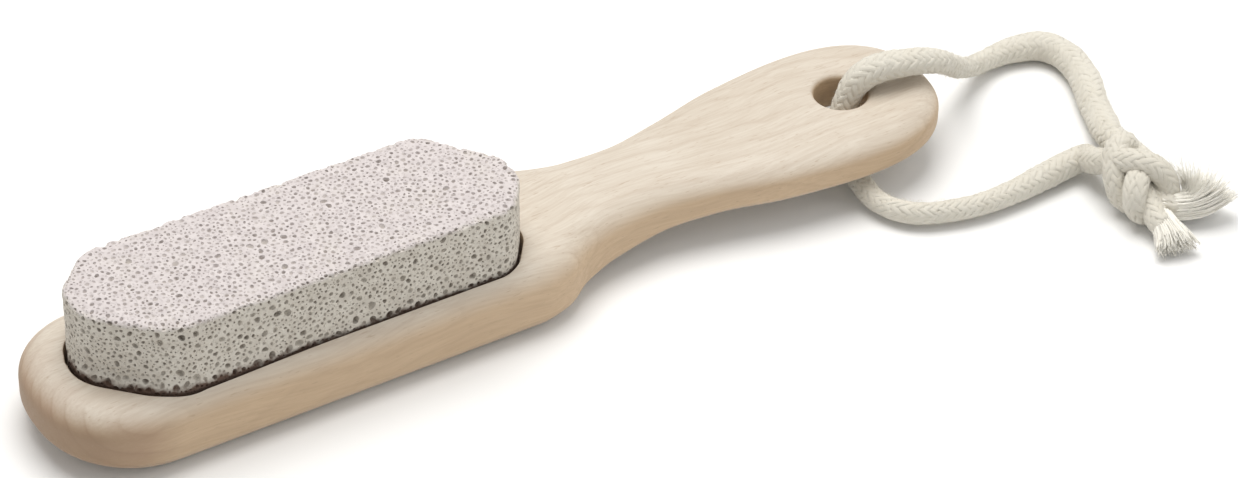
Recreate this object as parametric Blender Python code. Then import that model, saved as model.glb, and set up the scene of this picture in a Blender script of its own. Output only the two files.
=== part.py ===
# Pumice foot stone set in a wooden paddle handle, with a knotted loop of cotton cord.
# +X runs from the stone towards the cord hole, +Z is up, and the origin is on the surface that the
# handle lies on, under the middle of its length.

import math
import random

import bmesh
import bpy
from mathutils import Vector, noise
from mathutils.geometry import delaunay_2d_cdt

MM = 0.001

# handle
HANDLE_LENGTH = 210 * MM
HANDLE_THICKNESS = 15.75 * MM
HEAD_HALF_WIDTH = 20.6 * MM
HEAD_END_ROUNDNESS = 2.3
GRIP_HALF_WIDTH = 19.2 * MM
GRIP_END_START = 185 * MM
GRIP_END_ROUNDNESS = 2.4
TOP_EDGE_ROUND = 6.6 * MM
BOTTOM_EDGE_ROUND = 5.4 * MM
GRIP_BOTTOM_EDGE_ROUND = 3.3 * MM
EDGE_STEPS = 4
# half width of the shoulder, neck and grip at distances from the stone's end of the handle
SHOULDER_AND_NECK = [
    (98 * MM, HEAD_HALF_WIDTH),
    (104 * MM, HEAD_HALF_WIDTH),
    (112 * MM, 19.0 * MM),
    (118.5 * MM, 15.0 * MM),
    (127 * MM, 12.5 * MM),
    (137.5 * MM, 11.7 * MM),
    (150 * MM, 13.6 * MM),
    (167 * MM, 17.5 * MM),
    (GRIP_END_START, GRIP_HALF_WIDTH),
]
NECK_STEP = 3.4 * MM
END_STEPS = 13
# the grip's underside lifts off the table behind the head, and its top rises a little
UNDERSIDE_LIFT = 6.8 * MM
UNDERSIDE_LIFT_LENGTH = 52 * MM
HEAD_TIP_LIFT = 2.8 * MM
HEAD_TIP_LIFT_LENGTH = 24 * MM
TOP_LIFT = 0.6 * MM

# stone and the recess that holds it
STONE_CENTRE_X = -46.0 * MM
STONE_HALF_WIDTH = 15.6 * MM
STONE_TOP = 31.0 * MM
STONE_CORNERS = [
    (47.3 * MM, -7.5 * MM),
    (47.3 * MM, 0.5 * MM),
    (35.5 * MM, STONE_HALF_WIDTH - 0.2 * MM),
    (-39.5 * MM, STONE_HALF_WIDTH),
    (-48.6 * MM, 6.5 * MM),
    (-48.6 * MM, -0.8 * MM),
    (-34.0 * MM, -STONE_HALF_WIDTH),
    (41.0 * MM, -STONE_HALF_WIDTH - 0.4 * MM),
]
STONE_CORNER_ROUND = 6.0 * MM
STONE_CORNER_STEPS = 4
STONE_SIDE_STEP = 6.0 * MM
STONE_EDGE_WORN = 1.1 * MM
STONE_UNEVENNESS = 0.22 * MM
RECESS_DEPTH = 6.0 * MM
RECESS_GAP = 0.7 * MM
FLOOR_GAP = 0.3 * MM
PIT_SIDES = 6
PIT_LEAST = 0.5 * MM
PIT_MOST = 1.15 * MM
PIT_WALL = 0.42 * MM
TOP_PITS = 118
SIDE_PITS = 78
STONE_SEED = 11

# cord hole through the grip
HOLE_X = 84.2 * MM
HOLE_RADIUS = 5.7 * MM
HOLE_EASED_TOP = 0.8 * MM
HOLE_EASED_BOTTOM = 2.2 * MM
HOLE_SIDES = 28

# cord
CORD_DIAMETER = 6.3 * MM
CORD_STEP = 5.0 * MM
CORD_ROUNDNESS = 3
# from the knot along the far side, over the grip's end, down the hole and back under the grip
CORD_ROUTE = [
    (133.0, -31.9, 5.8),
    (134.5, -27.8, 4.7),
    (136.5, -23.4, 3.7),
    (139.0, -16.9, 3.2),
    (142.1, -10.0, 3.2),
    (143.8, -3.4, 3.2),
    (143.4, 2.2, 3.2),
    (140.5, 6.2, 3.2),
    (134.3, 7.9, 3.2),
    (127.9, 7.3, 3.5),
    (122.6, 5.2, 5.2),
    (116.9, 2.4, 8.7),
    (111.8, -0.6, 13.4),
    (106.8, -2.9, 17.6),
    (101.7, -3.6, 20.0),
    (97.2, -3.2, 20.8),
    (93.2, -2.4, 20.9),
    (89.8, -1.5, 19.9),
    (87.1, -0.8, 17.4),
    (85.4, -0.8, 14.2),
    (84.2, -1.2, 11.0),
    (83.4, -2.2, 7.8),
    (82.8, -4.6, 4.6),
    (82.1, -7.8, 3.3),
    (81.1, -11.6, 3.2),
    (80.1, -15.5, 3.2),
    (79.6, -19.4, 3.2),
    (80.2, -23.4, 3.2),
    (82.4, -27.3, 3.2),
    (86.2, -30.3, 3.2),
    (91.5, -32.2, 3.2),
    (98.0, -33.5, 3.2),
    (105.8, -33.5, 3.2),
    (114.0, -32.6, 3.2),
    (120.4, -31.9, 3.4),
    (125.2, -32.4, 4.1),
]

# knot: pebble-shaped lumps fused together, as centre, half sizes and turn about Z in degrees
KNOT_LUMPS = [
    ((130.4, -37.6, 6.2), (5.2, 5.4, 5.8), -30),
    ((129.8, -45.6, 8.4), (5.4, 8.8, 5.4), 0),
    ((124.6, -48.8, 6.5), (5.6, 8.4, 6.4), -12),
]
LUMP_SIDES = 14
LUMP_RINGS = 8

# frayed tails: centre, half width and half height along each tuft, from the knot to the fibre tips
TAIL_SIDES = 12
UPPER_TAIL = [
    ((130.6, -55.4, 4.9), 3.1, 3.1),
    ((133.6, -57.1, 4.6), 3.3, 3.2),
    ((137.2, -57.9, 4.4), 4.2, 3.4),
    ((140.8, -57.0, 4.8), 6.2, 4.0),
    ((143.8, -55.0, 5.4), 7.4, 4.6),
]
LOWER_TAIL = [
    ((125.6, -58.0, 4.2), 3.1, 3.1),
    ((125.3, -61.6, 3.8), 3.4, 3.2),
    ((124.7, -65.4, 3.4), 4.2, 3.1),
    ((124.0, -68.2, 3.2), 5.2, 2.9),
]

WOOD_COLOUR = (0.70, 0.53, 0.36)
STONE_COLOUR = (0.58, 0.52, 0.48)
CORD_COLOUR = (0.80, 0.74, 0.64)


def clear_scene():
    for old in list(bpy.data.objects):
        bpy.data.objects.remove(old, do_unlink=True)


def plain_material(name, colour, roughness):
    material = bpy.data.materials.new(name)
    material.use_nodes = True
    shader = material.node_tree.nodes["Principled BSDF"]
    shader.inputs["Base Color"].default_value = (*colour, 1.0)
    shader.inputs["Roughness"].default_value = roughness
    shader.inputs["Metallic"].default_value = 0.0
    return material


def add_object(name, data, material=None):
    body = bpy.data.objects.new(name, data)
    bpy.context.scene.collection.objects.link(body)
    if material is not None:
        data.materials.append(material)
    return body


def mesh_from(bm, name, smooth_angle=40):
    bmesh.ops.recalc_face_normals(bm, faces=bm.faces)
    mesh = bpy.data.meshes.new(name)
    bm.to_mesh(mesh)
    bm.free()
    mesh.shade_smooth()
    mesh.set_sharp_from_angle(angle=math.radians(smooth_angle))
    return mesh


def blend(value):
    value = min(max(value, 0.0), 1.0)
    return value * value * (3 - 2 * value)


def monotone_curve(stations):
    """A smooth curve through (x, y) stations that never overshoots them."""
    xs = [x for x, _ in stations]
    ys = [y for _, y in stations]
    steps = [b - a for a, b in zip(xs, xs[1:])]
    slopes = [(b - a) / h for a, b, h in zip(ys, ys[1:], steps)]
    tangents = [0.0]
    for before, after in zip(slopes, slopes[1:]):
        same_way = before * after > 0
        tangents.append(2 * before * after / (before + after) if same_way else 0.0)
    tangents.append(0.0)

    def value(x):
        i = max(j for j in range(len(steps)) if j == 0 or xs[j] <= x)
        h = steps[i]
        t = min(max((x - xs[i]) / h, 0.0), 1.0)
        rise = ys[i + 1] - ys[i]
        start = h * tangents[i] * t * (1 - t) ** 2
        end = h * tangents[i + 1] * t * t * (t - 1)
        return ys[i] + rise * blend(t) + start + end

    return value


def handle_half_outline():
    """Points from the stone end's tip to the grip end's tip, on the +Y side, x from the stone end."""
    points = []
    for i in range(END_STEPS):
        turn = 0.5 * math.pi * i / END_STEPS
        across = math.cos(turn) ** (2 / HEAD_END_ROUNDNESS)
        along = math.sin(turn) ** (2 / HEAD_END_ROUNDNESS)
        points.append((HEAD_HALF_WIDTH * (1 - across), HEAD_HALF_WIDTH * along))
    straight_end = SHOULDER_AND_NECK[1][0]
    for i in range(4):
        x = HEAD_HALF_WIDTH + (straight_end - HEAD_HALF_WIDTH) * i / 4
        points.append((x, HEAD_HALF_WIDTH))
    half_width = monotone_curve(SHOULDER_AND_NECK)
    steps = round((GRIP_END_START - straight_end) / NECK_STEP)
    for i in range(steps):
        x = straight_end + (GRIP_END_START - straight_end) * i / steps
        points.append((x, half_width(x)))
    reach = HANDLE_LENGTH - GRIP_END_START
    for i in range(END_STEPS + 1):
        turn = 0.5 * math.pi * i / END_STEPS
        along = math.sin(turn) ** (2 / GRIP_END_ROUNDNESS)
        across = max(math.cos(turn), 0.0) ** (2 / GRIP_END_ROUNDNESS)
        points.append((GRIP_END_START + reach * along, GRIP_HALF_WIDTH * across))
    points[-1] = (HANDLE_LENGTH, 0.0)
    return points


def mirrored_loop(half):
    return half + [(x, -y) for x, y in reversed(half[1:-1])]


def moved_right(loop, distance):
    """A closed loop moved sideways, to the right of its own direction: inwards if it is clockwise."""
    moved = []
    for i, here in enumerate(loop):
        before = Vector(loop[i - 1])
        after = Vector(loop[(i + 1) % len(loop)])
        along = (after - before).normalized()
        moved.append(Vector(here) + Vector((along.y, -along.x)) * distance)
    return moved


def underside_at(x):
    from_tip = x + 0.5 * HANDLE_LENGTH
    under_grip = UNDERSIDE_LIFT * blend(x / UNDERSIDE_LIFT_LENGTH)
    return under_grip + HEAD_TIP_LIFT * blend(1 - from_tip / HEAD_TIP_LIFT_LENGTH)


def top_at(x):
    return HANDLE_THICKNESS + TOP_LIFT * max(x / (0.5 * HANDLE_LENGTH), 0.0) ** 2


def edge_profile():
    """(inset at the head, inset at the grip, share of the thickness), from underside to top."""
    steps = []
    for i in range(EDGE_STEPS + 1):
        turn = 0.5 * math.pi * i / EDGE_STEPS
        share = BOTTOM_EDGE_ROUND * (1 - math.cos(turn)) / HANDLE_THICKNESS
        in_by = 1 - math.sin(turn)
        steps.append((BOTTOM_EDGE_ROUND * in_by, GRIP_BOTTOM_EDGE_ROUND * in_by, share))
    for i in range(EDGE_STEPS + 1):
        turn = 0.5 * math.pi * i / EDGE_STEPS
        share = 1 - TOP_EDGE_ROUND * (1 - math.sin(turn)) / HANDLE_THICKNESS
        in_by = TOP_EDGE_ROUND * (1 - math.cos(turn))
        steps.append((in_by, in_by, share))
    return steps


def handle_blank():
    """The whole handle before the recess and the hole are cut."""
    half = handle_half_outline()
    loop = mirrored_loop(half)
    count = len(loop)
    bm = bmesh.new()
    rings = []
    for head_inset, grip_inset, share in edge_profile():
        ring = []
        at_head = moved_right(loop, head_inset)
        at_grip = moved_right(loop, grip_inset)
        for place, head_point, grip_point in zip(loop, at_head, at_grip):
            along = blend((place[0] - 0.5 * HANDLE_LENGTH) / UNDERSIDE_LIFT_LENGTH)
            point = head_point.lerp(grip_point, along)
            x = point.x - 0.5 * HANDLE_LENGTH
            z = underside_at(x) * (1 - share) + top_at(x) * share
            ring.append(bm.verts.new((x, point.y, z)))
        rings.append(ring)
    for lower, upper in zip(rings, rings[1:]):
        for i in range(count):
            j = (i + 1) % count
            bm.faces.new((lower[i], lower[j], upper[j], upper[i]))
    tip = len(half) - 1
    level_start = HEAD_TIP_LIFT_LENGTH - 0.5 * HANDLE_LENGTH
    for ring in (rings[0], rings[-1]):
        bm.faces.new((ring[-1], ring[0], ring[1]))
        level = [i for i in range(1, tip) if level_start <= ring[i].co.x <= 0]
        bm.faces.new(ring[level[0]: level[-1] + 1] + ring[count - level[-1]: count - level[0] + 1])
        for i in list(range(1, level[0])) + list(range(level[-1], tip - 1)):
            bm.faces.new((ring[i], ring[i + 1], ring[count - i - 1], ring[count - i]))
        bm.faces.new((ring[tip - 1], ring[tip], ring[tip + 1]))
    return mesh_from(bm, "handle")


def rounded_polygon(corners, radius, steps):
    """Corner points of a convex polygon, counterclockwise, replaced by arcs."""
    points = []
    for i, corner in enumerate(corners):
        here = Vector(corner)
        back = (Vector(corners[i - 1]) - here).normalized()
        ahead = (Vector(corners[(i + 1) % len(corners)]) - here).normalized()
        half_angle = 0.5 * back.angle(ahead)
        middle = (back + ahead).normalized()
        centre = here + middle * radius / math.sin(half_angle)
        start = here + back * radius / math.tan(half_angle) - centre
        sweep = math.pi - 2 * half_angle
        for k in range(steps + 1):
            turn = sweep * k / steps
            cos, sin = math.cos(turn), math.sin(turn)
            points.append(centre + Vector((start.x * cos - start.y * sin, start.x * sin + start.y * cos)))
    return points


def stone_outline(grow=0.0):
    """The stone seen from above, counterclockwise, about its own middle."""
    rounded = rounded_polygon(STONE_CORNERS, STONE_CORNER_ROUND, STONE_CORNER_STEPS)
    points = []
    for i, here in enumerate(rounded):
        ahead = rounded[(i + 1) % len(rounded)]
        parts = max(1, round((ahead - here).length / STONE_SIDE_STEP))
        points += [here.lerp(ahead, k / parts) for k in range(parts)]
    return moved_right(points, grow) if grow else points


def extrude_loop(points, low, high, name):
    bm = bmesh.new()
    bottom = [bm.verts.new((p.x, p.y, low)) for p in points]
    face = bm.faces.new(bottom)
    grown = bmesh.ops.extrude_face_region(bm, geom=[face])
    for v in grown["geom"]:
        if isinstance(v, bmesh.types.BMVert):
            v.co.z = high
    return mesh_from(bm, name)


def cutter(name, mesh, location=(0, 0, 0)):
    body = add_object(name, mesh)
    body.location = location
    body.hide_render = True
    body.display_type = "WIRE"
    return body


def hole_cutter():
    """A turned plug that widens where it leaves the wood, which eases the hole's two rims."""
    low = underside_at(HOLE_X)
    high = top_at(HOLE_X)
    beyond = 2 * MM
    profile = [
        (HOLE_RADIUS + HOLE_EASED_BOTTOM + beyond, low - beyond),
        (HOLE_RADIUS, low + HOLE_EASED_BOTTOM),
        (HOLE_RADIUS, high - HOLE_EASED_TOP),
        (HOLE_RADIUS + HOLE_EASED_TOP + beyond, high + beyond),
    ]
    bm = bmesh.new()
    rings = []
    for radius, z in profile:
        turns = [2 * math.pi * i / HOLE_SIDES for i in range(HOLE_SIDES)]
        rings.append([bm.verts.new((radius * math.cos(t), radius * math.sin(t), z)) for t in turns])
    for lower, upper in zip(rings, rings[1:]):
        for i in range(HOLE_SIDES):
            j = (i + 1) % HOLE_SIDES
            bm.faces.new((lower[i], lower[j], upper[j], upper[i]))
    bm.faces.new(rings[0])
    bm.faces.new(rings[-1])
    return mesh_from(bm, "hole_cutter")


def cut(body, tool):
    boolean = body.modifiers.new("cut " + tool.name, "BOOLEAN")
    boolean.operation = "DIFFERENCE"
    boolean.solver = "EXACT"
    boolean.object = tool


def build_handle(wood):
    handle = add_object("handle", handle_blank(), wood)
    recess_floor = HANDLE_THICKNESS - RECESS_DEPTH
    recess = extrude_loop(stone_outline(RECESS_GAP), recess_floor, STONE_TOP, "recess_cutter")
    cut(handle, cutter("recess_cutter", recess, (STONE_CENTRE_X, 0, 0)))
    cut(handle, cutter("hole_cutter", hole_cutter(), (HOLE_X, 0, 0)))


def scatter_pits(rng, count, draw_place, fits):
    """Pit centres and radii that keep a wall between neighbours."""
    pits = []
    for _ in range(count * 60):
        radius = PIT_LEAST + (PIT_MOST - PIT_LEAST) * rng.random() ** 2
        centre = Vector(draw_place(rng))
        if not fits(centre, radius + PIT_WALL):
            continue
        if all((centre - other).length > radius + size + PIT_WALL for other, size in pits):
            pits.append((centre, radius))
        if len(pits) == count:
            break
    return pits


def pit_rim(rng, centre, radius):
    """An uneven rim around a pit, counterclockwise."""
    start = rng.random() * math.pi
    rim = []
    for i in range(PIT_SIDES):
        turn = start + 2 * math.pi * (i + rng.uniform(-0.16, 0.16)) / PIT_SIDES
        size = radius * rng.uniform(0.82, 1.12)
        rim.append(centre + Vector((math.cos(turn), math.sin(turn))) * size)
    return rim


def pitted_sheet(bm, rng, border, pits, place, border_verts):
    """Fills a flat outline with faces around open pits and adds the pits below it.

    place(point, depth) gives the position in space of a sheet point pushed in by depth.
    """
    coords = list(border)
    loops = [list(range(len(border)))]
    rims = [pit_rim(rng, centre, radius) for centre, radius in pits]
    for rim in rims:
        loops.append(list(range(len(coords), len(coords) + len(rim))))
        coords += rim
    flat, _, faces, sources, _, holders = delaunay_2d_cdt(coords, [], loops, 0, 1e-7)
    made = []
    for point, ids in zip(flat, sources):
        first = ids[0] if ids else len(coords)
        made.append(border_verts[first] if first < len(border) else bm.verts.new(place(point, 0.0)))
    for face, held in zip(faces, holders):
        if held == [0]:
            corners = [made[i] for i in face]
            if len(set(corners)) == 3:
                bm.faces.new(corners)
    by_source = {ids[0]: vert for ids, vert in zip(sources, made) if ids}
    for loop, (centre, radius) in zip(loops[1:], pits):
        rim = [by_source[i] for i in loop]
        depth = radius * rng.uniform(0.75, 1.15)
        shrink = rng.uniform(0.52, 0.7)
        inner = []
        for i in loop:
            point = centre.lerp(coords[i], shrink)
            inner.append(bm.verts.new(place(point, depth * rng.uniform(0.85, 1.1))))
        for i in range(PIT_SIDES):
            j = (i + 1) % PIT_SIDES
            bm.faces.new((rim[i], rim[j], inner[j], inner[i]))
        bm.faces.new(inner)


def uneven(position, outward):
    """A slow waviness over the stone's surface."""
    sway = noise.noise(position * 130.0) + 0.5 * noise.noise(position * 420.0)
    return position + outward * sway * STONE_UNEVENNESS


def build_stone(stone):
    rng = random.Random(STONE_SEED)
    outline = stone_outline()
    outward = [(q - p).normalized() for p, q in zip(outline, moved_right(outline, MM))]
    count = len(outline)
    lengths = [(outline[(i + 1) % count] - outline[i]).length for i in range(count)]
    starts = [sum(lengths[:i]) for i in range(count + 1)]
    bottom = HANDLE_THICKNESS - RECESS_DEPTH + FLOOR_GAP
    wood_top = HANDLE_THICKNESS
    bm = bmesh.new()

    def on_top(point, depth):
        flat = Vector((point.x, point.y, STONE_TOP))
        return uneven(flat, Vector((0, 0, 1))) - Vector((0, 0, depth))

    def on_side(point, depth):
        along = min(max(point.x, 0.0), starts[-1] - 1e-9)
        i = max(j for j in range(count) if starts[j] <= along)
        t = (along - starts[i]) / lengths[i]
        here = outline[i].lerp(outline[(i + 1) % count], t)
        away = outward[i].lerp(outward[(i + 1) % count], t).normalized()
        position = Vector((here.x, here.y, point.y))
        away = Vector((away.x, away.y, 0))
        return uneven(position, away) - away * depth

    side_low = [bm.verts.new(on_side(Vector((s, bottom)), 0.0)) for s in starts[:-1]]
    side_high = []
    top_ring = []
    top_border = []
    for i in range(count):
        drop = STONE_EDGE_WORN * rng.uniform(0.6, 1.25)
        inset = STONE_EDGE_WORN * rng.uniform(0.6, 1.25)
        side_high.append(bm.verts.new(on_side(Vector((starts[i], STONE_TOP - drop)), 0.0)))
        top_border.append(outline[i] - outward[i] * inset)
        top_ring.append(bm.verts.new(on_top(top_border[i], 0.0)))
    for i in range(count):
        j = (i + 1) % count
        bm.faces.new((side_high[i], side_high[j], top_ring[j], top_ring[i]))
    bm.faces.new(side_low)

    def draw_top(rng):
        return rng.uniform(-0.05, 0.05), rng.uniform(-0.017, 0.017)

    def fits_top(centre, clear):
        for here, away in zip(outline, outward):
            if (here - centre).dot(away) < clear + 1.3 * STONE_EDGE_WORN:
                return False
        return True

    top_pits = scatter_pits(rng, TOP_PITS, draw_top, fits_top)
    pitted_sheet(bm, rng, top_border, top_pits, on_top, top_ring)

    low = wood_top + 0.8 * MM
    high = STONE_TOP - 1.5 * STONE_EDGE_WORN

    def draw_side(rng):
        return rng.uniform(0, starts[-1]), rng.uniform(low, high)

    def fits_side(centre, clear):
        within = clear < centre.x < starts[-1] - clear
        return within and low + clear < centre.y < high - clear

    side_pits = scatter_pits(rng, SIDE_PITS, draw_side, fits_side)
    border = [Vector((s, bottom)) for s in starts]
    border += [Vector((s, STONE_TOP - 1.25 * STONE_EDGE_WORN)) for s in reversed(starts)]
    border_verts = side_low + side_low[:1] + side_high[:1] + side_high[::-1]
    pitted_sheet(bm, rng, border, side_pits, on_side, border_verts)
    mesh = mesh_from(bm, "pumice_stone", 25)
    add_object("pumice_stone", mesh, stone).location.x = STONE_CENTRE_X


def smooth_route(points, step):
    """Points at even steps on a smooth curve through a route's points."""
    route = [Vector(p) * MM for p in points]
    fine = []
    for i in range(len(route) - 1):
        before = route[max(i - 1, 0)]
        start, end = route[i], route[i + 1]
        after = route[min(i + 2, len(route) - 1)]
        for k in range(20):
            t = k / 20
            leave = (end - before) * 0.5
            arrive = (after - start) * 0.5
            fine.append(
                start * (2 * t**3 - 3 * t**2 + 1)
                + leave * (t**3 - 2 * t**2 + t)
                + end * (3 * t**2 - 2 * t**3)
                + arrive * (t**3 - t**2)
            )
    fine.append(route[-1])
    travelled = [0.0]
    for a, b in zip(fine, fine[1:]):
        travelled.append(travelled[-1] + (b - a).length)
    parts = round(travelled[-1] / step)
    even = []
    for k in range(parts + 1):
        goal = travelled[-1] * k / parts
        i = max(j for j in range(len(fine) - 1) if travelled[j] <= goal)
        t = (goal - travelled[i]) / (travelled[i + 1] - travelled[i])
        even.append(fine[i].lerp(fine[i + 1], t))
    return even


def build_cord_loop(cotton):
    curve = bpy.data.curves.new("cord_loop", "CURVE")
    curve.dimensions = "3D"
    curve.bevel_depth = 0.5 * CORD_DIAMETER
    curve.bevel_resolution = CORD_ROUNDNESS
    curve.use_fill_caps = True
    points = smooth_route(CORD_ROUTE, CORD_STEP)
    spline = curve.splines.new("POLY")
    spline.points.add(len(points) - 1)
    for target, point in zip(spline.points, points):
        target.co = (*point, 1.0)
    add_object("cord_loop", curve, cotton)


def build_knot(cotton):
    lumps = []
    for i, (centre, half_sizes, turn) in enumerate(KNOT_LUMPS):
        bm = bmesh.new()
        bmesh.ops.create_uvsphere(bm, u_segments=LUMP_SIDES, v_segments=LUMP_RINGS, radius=1.0)
        bmesh.ops.scale(bm, vec=Vector(half_sizes) * MM, verts=bm.verts)
        name = "cord_knot" if i == 0 else f"knot_lump_{i}"
        mesh = mesh_from(bm, name, 60)
        place = tuple(v * MM for v in centre)
        lump = add_object(name, mesh, cotton) if i == 0 else cutter(name, mesh)
        lump.location = place
        lump.rotation_euler.z = math.radians(turn)
        lumps.append(lump)
    for extra in lumps[1:]:
        boolean = lumps[0].modifiers.new("fuse " + extra.name, "BOOLEAN")
        boolean.operation = "UNION"
        boolean.solver = "EXACT"
        boolean.object = extra


def build_tail(name, stations, cotton):
    """A tuft that follows its centres, oval in section and flaring towards its tips."""
    bm = bmesh.new()
    centres = [Vector(centre) * MM for centre, _, _ in stations]
    rings = []
    for i, (_, half_width, half_height) in enumerate(stations):
        ahead = centres[min(i + 1, len(centres) - 1)] - centres[max(i - 1, 0)]
        side = Vector((-ahead.y, ahead.x, 0)).normalized()
        up = ahead.normalized().cross(side)
        ring = []
        for k in range(TAIL_SIDES):
            turn = 2 * math.pi * k / TAIL_SIDES
            offset = side * math.cos(turn) * half_width + up * math.sin(turn) * half_height
            ring.append(bm.verts.new(centres[i] + offset * MM))
        rings.append(ring)
    for near, far in zip(rings, rings[1:]):
        for k in range(TAIL_SIDES):
            j = (k + 1) % TAIL_SIDES
            bm.faces.new((near[k], near[j], far[j], far[k]))
    bm.faces.new(rings[0])
    bm.faces.new(rings[-1])
    add_object(name, mesh_from(bm, name), cotton)


def main():
    clear_scene()
    wood = plain_material("wood", WOOD_COLOUR, 0.6)
    stone = plain_material("stone", STONE_COLOUR, 0.95)
    cotton = plain_material("cotton", CORD_COLOUR, 0.9)
    build_handle(wood)
    build_stone(stone)
    build_cord_loop(cotton)
    build_knot(cotton)
    build_tail("cord_tail_upper", UPPER_TAIL, cotton)
    build_tail("cord_tail_lower", LOWER_TAIL, cotton)


main()
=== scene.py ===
import math
import random

import bmesh
import bpy
import numpy as np
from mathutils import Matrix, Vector, noise
from mathutils.geometry import delaunay_2d_cdt


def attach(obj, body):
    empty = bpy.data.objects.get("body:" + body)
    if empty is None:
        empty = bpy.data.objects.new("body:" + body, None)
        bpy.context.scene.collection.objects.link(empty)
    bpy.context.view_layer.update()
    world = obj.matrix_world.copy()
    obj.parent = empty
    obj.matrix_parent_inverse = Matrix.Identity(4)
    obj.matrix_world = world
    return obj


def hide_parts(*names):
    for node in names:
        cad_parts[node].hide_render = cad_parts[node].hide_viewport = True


# Pumice foot stone in a wooden handle with a knotted cotton cord, dressed for the camera.
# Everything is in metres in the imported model's frame: +X from the stone to the cord hole, +Z up.

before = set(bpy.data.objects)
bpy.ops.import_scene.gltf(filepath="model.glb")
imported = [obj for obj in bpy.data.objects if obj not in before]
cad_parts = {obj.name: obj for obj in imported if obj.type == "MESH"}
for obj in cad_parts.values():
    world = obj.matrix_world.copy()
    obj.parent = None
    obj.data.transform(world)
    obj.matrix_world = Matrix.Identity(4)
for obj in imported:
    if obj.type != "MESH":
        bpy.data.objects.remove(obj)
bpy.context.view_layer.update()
mm = 0.001
print("frame loaded:", ", ".join(sorted(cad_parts)))

photoView = {
    "azimuth": -30.214,  # degrees round from straight in front
    "elevation": 38.89,
    "distance": 0.8898,
    "target": (0.0, 0.0, 0.0084),
    "lens": 126.22,
    "shift": (0.0989, 0.0055),
}

studio = {
    "floorColour": (0.90, 0.90, 0.895),
    "floorSize": 6.0,
    "floorRoughness": 0.9,
    "skyColour": (1.0, 1.0, 1.0),
    "skyStrength": 0.46,
    "keyPlace": (0.07, 0.26, 0.98),
    "keySize": 0.85,
    "keyPower": 9.8,
    "keyColour": (1.0, 0.985, 0.96),
    "fillPlace": (0.75, -0.50, 0.55),
    "fillSize": 1.2,
    "fillPower": 2.0,
    "fillColour": (1.0, 0.99, 0.97),
}


def placeCamera():
    turn = math.radians(photoView["azimuth"])
    rise = math.radians(photoView["elevation"])
    away = Vector((math.sin(turn) * math.cos(rise), -math.cos(turn) * math.cos(rise), math.sin(rise)))
    lens = bpy.data.cameras.new("photoCamera")
    lens.lens = photoView["lens"]
    lens.sensor_width = 36.0
    lens.shift_x, lens.shift_y = photoView["shift"]
    lens.clip_start = 0.02
    lens.clip_end = 20.0
    camera = bpy.data.objects.new("photoCamera", lens)
    bpy.context.scene.collection.objects.link(camera)
    camera.location = Vector(photoView["target"]) + away * photoView["distance"]
    camera.rotation_euler = away.to_track_quat("Z", "Y").to_euler()
    bpy.context.scene.camera = camera


def lightStudio():
    world = bpy.data.worlds.new("studioSky")
    world.use_nodes = True
    sky = world.node_tree.nodes["Background"]
    sky.inputs["Color"].default_value = (*studio["skyColour"], 1.0)
    sky.inputs["Strength"].default_value = studio["skyStrength"]
    bpy.context.scene.world = world
    for name in ("key", "fill"):
        lamp = bpy.data.lights.new(name + "Light", "AREA")
        lamp.shape = "DISK"
        lamp.size = studio[name + "Size"]
        lamp.energy = studio[name + "Power"]
        lamp.color = studio[name + "Colour"]
        light = bpy.data.objects.new(name + "Light", lamp)
        bpy.context.scene.collection.objects.link(light)
        light.location = studio[name + "Place"]
        light.rotation_euler = Vector(studio[name + "Place"]).to_track_quat("Z", "Y").to_euler()
    bpy.context.scene.view_settings.view_transform = "Standard"


def newMaterial(name, roughness):
    material = bpy.data.materials.new(name)
    material.use_nodes = True
    shader = material.node_tree.nodes["Principled BSDF"]
    shader.inputs["Roughness"].default_value = roughness
    return material, material.node_tree, shader


def addNode(tree, kind, inputs=None, **settings):
    node = tree.nodes.new(kind)
    for key, value in settings.items():
        setattr(node, key, value)
    for key, value in (inputs or {}).items():
        if isinstance(value, bpy.types.NodeSocket):
            tree.links.new(value, node.inputs[key])
        else:
            node.inputs[key].default_value = value
    return node


def mathNode(tree, operation, a, b=0.0, c=0.0, clamp=False):
    node = addNode(tree, "ShaderNodeMath", {0: a, 1: b, 2: c}, operation=operation, use_clamp=clamp)
    return node.outputs[0]


def vectorMath(tree, operation, a, b=(0.0, 0.0, 0.0)):
    return addNode(tree, "ShaderNodeVectorMath", {0: a, 1: b}, operation=operation).outputs


def noiseNode(tree, vector, scale, detail, roughness=0.5):
    inputs = {"Vector": vector, "Scale": scale, "Detail": detail, "Roughness": roughness}
    return addNode(tree, "ShaderNodeTexNoise", inputs).outputs


def stretchedNoise(tree, vector, scale, detail, roughness=0.5):
    place = addNode(tree, "ShaderNodeMapping", {"Vector": vector, "Scale": scale}).outputs[0]
    return noiseNode(tree, place, 1.0, detail, roughness)[0]


def asColour(value):
    return value if isinstance(value, bpy.types.NodeSocket) else (*value, 1.0)


def mixColour(tree, share, a, b):
    return addNode(tree, "ShaderNodeMix", {0: share, 6: asColour(a), 7: asColour(b)}, data_type="RGBA").outputs[2]


def tinted(tree, base, mask, amount, colour):
    return mixColour(tree, mathNode(tree, "MULTIPLY", mask, amount), base, colour)


def rampNode(tree, source, stops):
    node = addNode(tree, "ShaderNodeValToRGB", {0: source})
    bar = node.color_ramp.elements
    while len(bar) < len(stops):
        bar.new(0.5)
    for element, (place, value) in zip(bar, stops):
        element.position = place
        element.color = (value, value, value, 1.0)
    return node.outputs[0]


def fadeNode(tree, value, start, end, clamp=True):
    slope = 1 / (end - start)  # 0 at the start, 1 at the end
    return mathNode(tree, "MULTIPLY_ADD", value, slope, -start * slope, clamp=clamp)


def stored(tree, name, output="Fac"):
    return addNode(tree, "ShaderNodeAttribute", attribute_name=name).outputs[output]


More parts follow.
